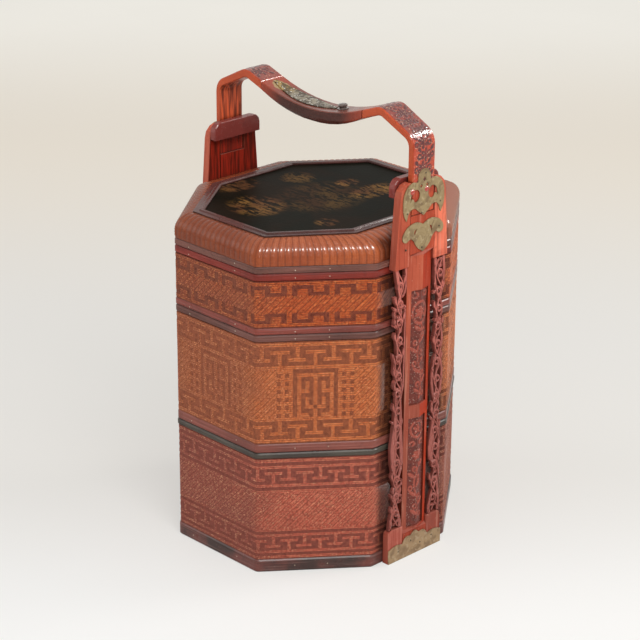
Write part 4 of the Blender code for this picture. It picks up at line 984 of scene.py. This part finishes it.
def vine(y, z, low, high, sway, leaves):
    """A swaying stem with leaves to either side."""
    share = (z - low) / (high - low)
    stem_y = sway * np.sin(share * math.pi * 2.4)
    inside = (share > 0) & (share < 1)
    parts = [np.exp(-((y - stem_y) / 0.0009) ** 2) * inside]
    for k in range(leaves):
        at = low + (high - low) * (k + 0.5) / leaves
        hand = 1 if k % 2 else -1
        root = sway * math.sin((k + 0.5) / leaves * math.pi * 2.4)
        parts.append(leaf(y, z, (root + hand * 0.0058, at + 0.003), (0.0024, 0.0066), -hand * 48))
        parts.append(ring(y, z, (root - hand * 0.0056, at - 0.002), (0.0026, 0.0032), 0.34) * 0.8)
    return np.maximum.reduce(parts)


def upper_motif(y, z):
    return np.maximum.reduce([
        ring(y, z, (0, 0.345), (0.0118, 0.0148), 0.11), rosette(y, z, (0, 0.345), 0.0092),
        ring(y, z, (-0.0085, 0.3695), (0.0038, 0.0034), 0.3), ring(y, z, (0.0085, 0.3695), (0.0038, 0.0034), 0.3),
        vine(y, z, 0.226, 0.328, 0.0035, 7)])


def lower_motif(y, z):
    return np.maximum.reduce([
        ring(y, z, (0, 0.182), (0.0105, 0.0115), 0.12), rosette(y, z, (0, 0.182), 0.0072, 5),
        rosette(y, z, (0.001, 0.146), 0.0085, 7), vine(y, z, 0.052, 0.134, 0.0038, 6),
        ring(y, z, (-0.008, 0.162), (0.0034, 0.003), 0.34), ring(y, z, (0.008, 0.162), (0.0034, 0.003), 0.34)])


def sheet_of(name, side, across, up, spot, height, key, body="basket_frame", sunk=0.0003):
    """A closed carved sheet: spot gives the ground point and its outward way."""
    verts, maps = [], []
    for row in range(len(up)):
        for column in range(len(across)):
            ground, outward = spot(across[column], up[row])
            lift = height[row][column]
            verts.append(tuple(g + o * lift for g, o in zip(ground, outward)))
            maps.append((lift / max(height.max(), 1e-9), row / len(up)))
    wide, tall = len(across), len(up)
    faces = [(r * wide + c, r * wide + c + 1, (r + 1) * wide + c + 1, (r + 1) * wide + c)
             for r in range(tall - 1) for c in range(wide - 1)]
    border = [c for c in range(wide)] + [r * wide + wide - 1 for r in range(1, tall)]
    border += [(tall - 1) * wide + c for c in range(wide - 2, -1, -1)] + [r * wide for r in range(tall - 2, 0, -1)]
    first = len(verts)
    for index in border:
        ground, outward = spot(across[index % wide], up[index // wide])
        verts.append(tuple(g - o * sunk for g, o in zip(ground, outward)))
        maps.append((0, 0))
    below = {index: first + i for i, index in enumerate(border)}
    for i, index in enumerate(border):
        after = border[(i + 1) % len(border)]
        faces.append((after, index, below[index], below[after]))
    ends = [(r * wide, r * wide + wide - 1) for r in range(tall)]
    for r in range(tall - 1):
        lower = list(range(wide)) if r == 0 else list(ends[r])
        upper = list(range((tall - 1) * wide, tall * wide)) if r == tall - 2 else list(ends[r + 1])
        faces.append(tuple(below[v] for v in lower[::-1] + upper))
    return add_upright_piece(name, side, verts, faces, key, maps, (), 70)


RECESS_RIDGE = 0.0115
FACE_SLOPE = 7 / 22
RECESS_HALF = 0.0153
CARVED_HEIGHT = 0.0017


def post_carving(side, level, low, high, motif):
    across = np.linspace(-RECESS_HALF, RECESS_HALF, 31)
    up = np.linspace(low, high, round((high - low) / 0.0011))
    y, z = np.meshgrid(across, up)
    rough = np.array([[noise.noise(Vector((a * 420, b * 420, 3.0))) for a in across] for b in up])
    height = CARVED_HEIGHT * np.clip(motif(y, z) + 0.10 * (rough + 0.6), 0.02, 1.0)

    def spot(a, b):
        return (RECESS_RIDGE - FACE_SLOPE * abs(a), a, b), (1, 0, 0)

    sheet_of(f"post_carving_{level}_{side}", side, across, up, spot, height, "carved_post")


for side_name in SIDES:
    for hand_name in ("left", "right"):
        fret_carving(side_name, hand_name)
        fret_scrolls(side_name, hand_name)
    post_carving(side_name, "upper", 0.2185, 0.3765, upper_motif)
    post_carving(side_name, "lower", 0.0425, 0.1995, lower_motif)


# Handle

STRAP_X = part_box("handle_strap_near")[1].x
STRAP_LINE = ((STRAP_X, 0.4785), (STRAP_X, 0.5785), (0.124, 0.6075), (0.0925, 0.5962))
STRAP_RADII = (0.022, 0.020)


def rounded_line(points, radii, steps=10):
    """A side view's line with its inner corners rounded."""
    points = [Vector(p) for p in points]
    line = [points[0]]
    for before, corner, after, radius in zip(points, points[1:], points[2:], radii):
        to_before, to_after = (before - corner).normalized(), (after - corner).normalized()
        half = to_before.angle(to_after) / 2
        centre = corner + (to_before + to_after).normalized() * radius / math.sin(half)
        start = corner + to_before * radius / math.tan(half) - centre
        end = corner + to_after * radius / math.tan(half) - centre
        for k in range(steps + 1):
            line.append(centre + (start * (1 - k / steps) + end * k / steps).normalized() * radius)
    return line + [points[-1]]


STRAP_SPACING = 0.0165


def strap_carving(side):
    """Shallow carving on the strap's outer face, over the bend and the crest."""
    line = rounded_line(STRAP_LINE, STRAP_RADII)
    lengths = np.concatenate([[0], np.cumsum([(b - a).length for a, b in zip(line, line[1:])])])
    xs, zs = np.array([p.x for p in line]), np.array([p.y for p in line])
    across = np.linspace(-0.0186, 0.0186, 57)
    up = np.linspace(0.036, lengths[-1] - 0.001, 210)

    def spot(a, b):
        x, z = np.interp(b, lengths, xs), np.interp(b, lengths, zs)
        x2, z2 = np.interp(b + 0.0006, lengths, xs), np.interp(b + 0.0006, lengths, zs)
        x1, z1 = np.interp(b - 0.0006, lengths, xs), np.interp(b - 0.0006, lengths, zs)
        size = math.hypot(x2 - x1, z2 - z1)
        return (x - BACK, a, z), ((z2 - z1) / size, 0, (x1 - x2) / size)

    y, z = np.meshgrid(across, up)
    motif = np.zeros_like(y)
    for k in range(int(up[-1] / STRAP_SPACING)):
        centre = (0.0024 * (-1) ** k, STRAP_SPACING * (k + 0.6))
        motif = np.maximum(motif, rosette(y, z, centre, 0.0092, 6))
        for hand in (-1, 1):
            spot_y = centre[0] + hand * 0.0112
            motif = np.maximum(motif, leaf(y, z, (spot_y, centre[1] + 0.0074), (0.0024, 0.0044), -hand * 40))
            motif = np.maximum(motif, ring(y, z, (spot_y, centre[1] - 0.0016), (0.0028, 0.0028), 0.4))
    rough = np.array([[noise.noise(Vector((a * 330, b * 330, 1.0))) for a in across] for b in up])
    edge = np.clip((0.0186 - np.abs(y)) / 0.0016, 0, 1)
    height = 0.00012 + 0.0005 * edge * np.clip(motif + 0.12 * (rough + 0.3), 0, 1)
    return sheet_of(f"strap_carving_{side}", side, across, up, spot, height, "carved_strap")


for side_name in SIDES:
    strap_carving(side_name)


def domes(name, spots, key, body="basket_frame", rings=3, segments=10):
    """Small round heads. Each spot: centre, outward way, radius and rise."""
    verts, faces = [], []
    for centre, outward, radius, rise in spots:
        centre, outward = Vector(centre), Vector(outward).normalized()
        side = outward.orthogonal().normalized()
        other = outward.cross(side)
        first = len(verts)
        for r in range(rings + 1):
            angle = math.pi / 2 * r / (rings + 1)
            for s in range(segments):
                turn = 2 * math.pi * s / segments
                flat = side * math.cos(turn) + other * math.sin(turn)
                base = -0.0004 if r == 0 else rise * math.sin(angle)
                verts.append(centre + flat * radius * math.cos(angle) + outward * base)
        verts.append(centre + outward * rise)
        for r in range(rings):
            for s in range(segments):
                t = (s + 1) % segments
                faces.append((first + r * segments + s, first + r * segments + t,
                              first + (r + 1) * segments + t, first + (r + 1) * segments + s))
        tip = len(verts) - 1
        top = first + rings * segments
        faces += [(top + s, top + (s + 1) % segments, tip) for s in range(segments)]
        faces.append(tuple(first + s for s in reversed(range(segments))))
    mesh = bpy.data.meshes.new(name)
    mesh.from_pydata(verts, [], faces)
    return add_piece(name, smooth(mesh, 60), (key,), body)


PLATE_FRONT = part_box("foot_plate_near")[1].x - BACK
BAT_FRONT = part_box("bat_plate_upper_near")[1].x - BACK
BOARD_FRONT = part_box("board_left_near")[1].x - BACK
NAILS = ((PLATE_FRONT, -0.0317, 0.0138), (PLATE_FRONT, 0.0321, 0.0165), (PLATE_FRONT, -0.008, 0.022),
         (PLATE_FRONT, 0.010, 0.0135), (BAT_FRONT, -0.030, 0.484), (BAT_FRONT, 0.030, 0.488),
         (BAT_FRONT, -0.004, 0.480), (BAT_FRONT, 0.002, 0.531), (BAT_FRONT, -0.031, 0.4365),
         (BAT_FRONT, 0.029, 0.455), (BAT_FRONT, -0.002, 0.434))
for side_name in SIDES:
    outward_way = (1 if side_name == "near" else -1, 0, 0)
    domes(f"mount_nails_{side_name}", [(on_side(side_name, p), outward_way, 0.0013, 0.0008) for p in NAILS],
          "dark_brass")

BEADS = ((BOARD_FRONT, -0.0215, 0.5105), (BOARD_FRONT, 0.0045, 0.5095))
for side_name in SIDES:
    outward_way = (1 if side_name == "near" else -1, 0, 0)
    domes(f"mount_beads_{side_name}", [(on_side(side_name, p), outward_way, 0.0042, 0.0034) for p in BEADS],
          "bead", rings=5, segments=18)

PEG_BANDS = {"lid": ("lid_rim",), "upper_tray": ("upper_tray_top_rim", "upper_tray_bottom_rim"),
             "middle_tray": ("middle_tray_top_rim", "middle_tray_bottom_rim"),
             "basket_frame": ("bottom_tray_foot_band",)}
PEG_PLACES = ((-0.026, 0.017), (0.006,), (-0.048, 0.039), (-0.012,), (0.031,))
for body_name, bands in PEG_BANDS.items():
    pegs = []
    for band in bands:
        lowest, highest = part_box(band)
        middle_z = (lowest.z + highest.z) / 2
        rail = Rail(ring_of(node_points(band), lowest.z + 0.0016))
        for index, middle in enumerate(rail.facets()):
            for shift in PEG_PLACES[index % len(PEG_PLACES)]:
                spot_at, way = rail.spot(middle + shift)
                pegs.append(((*spot_at, middle_z + shift * 0.02), (*way, 0), 0.0008, 0.0004))
    domes(f"band_pegs_{body_name}", pegs, "peg", body_name, 2, 8)


# CAD nodes that show as they are

for band, key in (("lid_rim", "band_lid"), ("upper_tray_top_rim", "band_maroon"),
                  ("upper_tray_bottom_rim", "band_wine"), ("middle_tray_top_rim", "band_plum"),
                  ("middle_tray_bottom_rim", "band_rose"), ("bottom_tray_top_rim", "band_black"),
                  ("bottom_tray_foot_band", "band_foot")):
    dress(band, key, 0.0008)
dress("lid_moulding", "moulding", 0.0006)
dress("lid_panel", "panel")
for tray_name in TRAYS:
    dress(f"{tray_name}_floor", "wood")
    dress(f"{tray_name}_lip", "bamboo")
for side_name in SIDES:
    dress(f"post_{side_name}", "post")
    for part in ("board_left", "board_right", "base_block_left", "base_block_right"):
        dress(f"{part}_{side_name}", "coral", 0.0006)
    dress(f"cap_bar_{side_name}", "cap", 0.001)
    for part in ("bat_plate_upper", "bat_plate_lower"):
        dress(f"{part}_{side_name}", "brass", 0.0004)
    dress(f"foot_plate_{side_name}", "foot_brass", 0.0004)
    for part in ("pin_lower", "pin_upper"):
        dress(f"{part}_{side_name}", "bamboo")
    dress(f"handle_strap_{side_name}", "strap", 0.0008)
dress("handle_grip", "grip", 0.0008)
dress("handle_inlay", "inlay", 0.0003)
dress("handle_knob", "knob", 0.0003)


# Stage, light and camera

def area_light(name, place, aim, size, power, glints_only=False, colour=(1.0, 0.98, 0.95)):
    lamp = bpy.data.lights.new(name, "AREA")
    lamp.shape = "DISK"
    lamp.size = size
    lamp.energy = power
    lamp.color = colour
    light = bpy.data.objects.new(name, lamp)
    bpy.context.scene.collection.objects.link(light)
    light.location = place
    light.rotation_mode = "QUATERNION"
    light.rotation_quaternion = (Vector(aim) - Vector(place)).to_track_quat("-Z", "Y")
    light.visible_diffuse = not glints_only


area_light("key_light", (1.45, -0.75, 2.0), (0, 0, 0.3), 1.3, 26)
area_light("glint_light", (1.35, -1.15, 2.05), (0, 0, 0.4), 0.22, 70, True)
area_light("bend_glint_light", (1.03, 1.58, 2.15), (0.15, 0, 0.58), 0.3, 70, True)
area_light("back_light", (0.9, 1.6, 1.8), (0, 0, 0.4), 0.7, 14)
area_light("left_light", (-1.6, -1.6, 1.3), (0, 0, 0.3), 1.4, 10)

world = bpy.data.worlds.new("studio")
bpy.context.scene.world = world
world.use_nodes = True
tree = world.node_tree
tree.nodes.clear()
path_kind = tree.nodes.new("ShaderNodeLightPath")
seen = tree.nodes.new("ShaderNodeBackground")
seen.inputs["Color"].default_value = tone(240, 239, 235)
seen.inputs["Strength"].default_value = 1.0
lit = tree.nodes.new("ShaderNodeBackground")
lit.inputs["Color"].default_value = (1, 0.99, 0.97, 1)
lit.inputs["Strength"].default_value = 0.55
bright = path_kind.outputs["Is Camera Ray"]
for kind in ("Is Glossy Ray", "Is Transmission Ray"):
    either = tree.nodes.new("ShaderNodeMath")
    either.operation = "MAXIMUM"
    tree.links.new(bright, either.inputs[0])
    tree.links.new(path_kind.outputs[kind], either.inputs[1])
    bright = either.outputs[0]
choice = tree.nodes.new("ShaderNodeMixShader")
tree.links.new(bright, choice.inputs[0])
tree.links.new(lit.outputs[0], choice.inputs[1])
tree.links.new(seen.outputs[0], choice.inputs[2])
shown = tree.nodes.new("ShaderNodeOutputWorld")
tree.links.new(choice.outputs[0], shown.inputs[0])

floor_mesh = bpy.data.meshes.new("floor")
reach = 14.0
floor_mesh.from_pydata([(-reach, -reach, 0), (reach, -reach, 0), (reach, reach, 0), (-reach, reach, 0)], [],
                       [(0, 1, 2, 3)])
floor = bpy.data.objects.new("floor", floor_mesh)
bpy.context.scene.collection.objects.link(floor)
floor_paint = Paint("pale_floor", 0.75)
cloud = floor_paint.noise(3.0, 4)
distance = floor_paint.calc("SUBTRACT", floor_paint.axis(0), floor_paint.axis(1))
# Painted shade: the floor turns from white in front to a greyer band at and behind the basket.
pale = floor_paint.blend(floor_paint.level(distance, 0.5, -0.25), tone(247, 247, 246), tone(230, 228, 224))
pale = floor_paint.blend(floor_paint.level(distance, -0.8, -2.4), pale, tone(237, 229, 216))
pale = floor_paint.blend(floor_paint.level(distance, -2.4, -4.2), pale, tone(254, 251, 243))
pale = floor_paint.blend(floor_paint.times(cloud, 0.2), pale, tone(232, 229, 222))
floor_paint.finish(pale)
glow = floor_paint.node("Emission", {"Color": pale, "Strength": 1.0})
lit_path = floor_paint.tree.nodes.new("ShaderNodeLightPath")
share = floor_paint.times(lit_path.outputs["Is Camera Ray"], 0.6)
mixed = floor_paint.node("MixShader", {0: share, 1: floor_paint.shader.outputs[0], 2: glow.outputs[0]})
output = next(n for n in floor_paint.tree.nodes if n.type == "OUTPUT_MATERIAL")
floor_paint.tree.links.new(mixed.outputs[0], output.inputs[0])
floor.data.materials.append(floor_paint.material)

camera_data = bpy.data.cameras.new("camera")
camera_data.sensor_width = 36
camera_data.lens = 118.3
camera = bpy.data.objects.new("camera", camera_data)
bpy.context.scene.collection.objects.link(camera)
camera.location = (1.8651, -1.8337, 1.3293)
forward, upward = Vector((-0.6619, 0.6508, -0.3719)), Vector((-0.2700, 0.2557, 0.9283))
rightward = forward.cross(upward).normalized()
upward = rightward.cross(forward).normalized()
camera.rotation_mode = "QUATERNION"
turned = camera.matrix_world.to_3x3()
turned.col[0], turned.col[1], turned.col[2] = rightward, upward, -forward.normalized()
camera.rotation_quaternion = turned.to_quaternion()
bpy.context.scene.camera = camera
bpy.context.scene.view_settings.view_transform = "Standard"
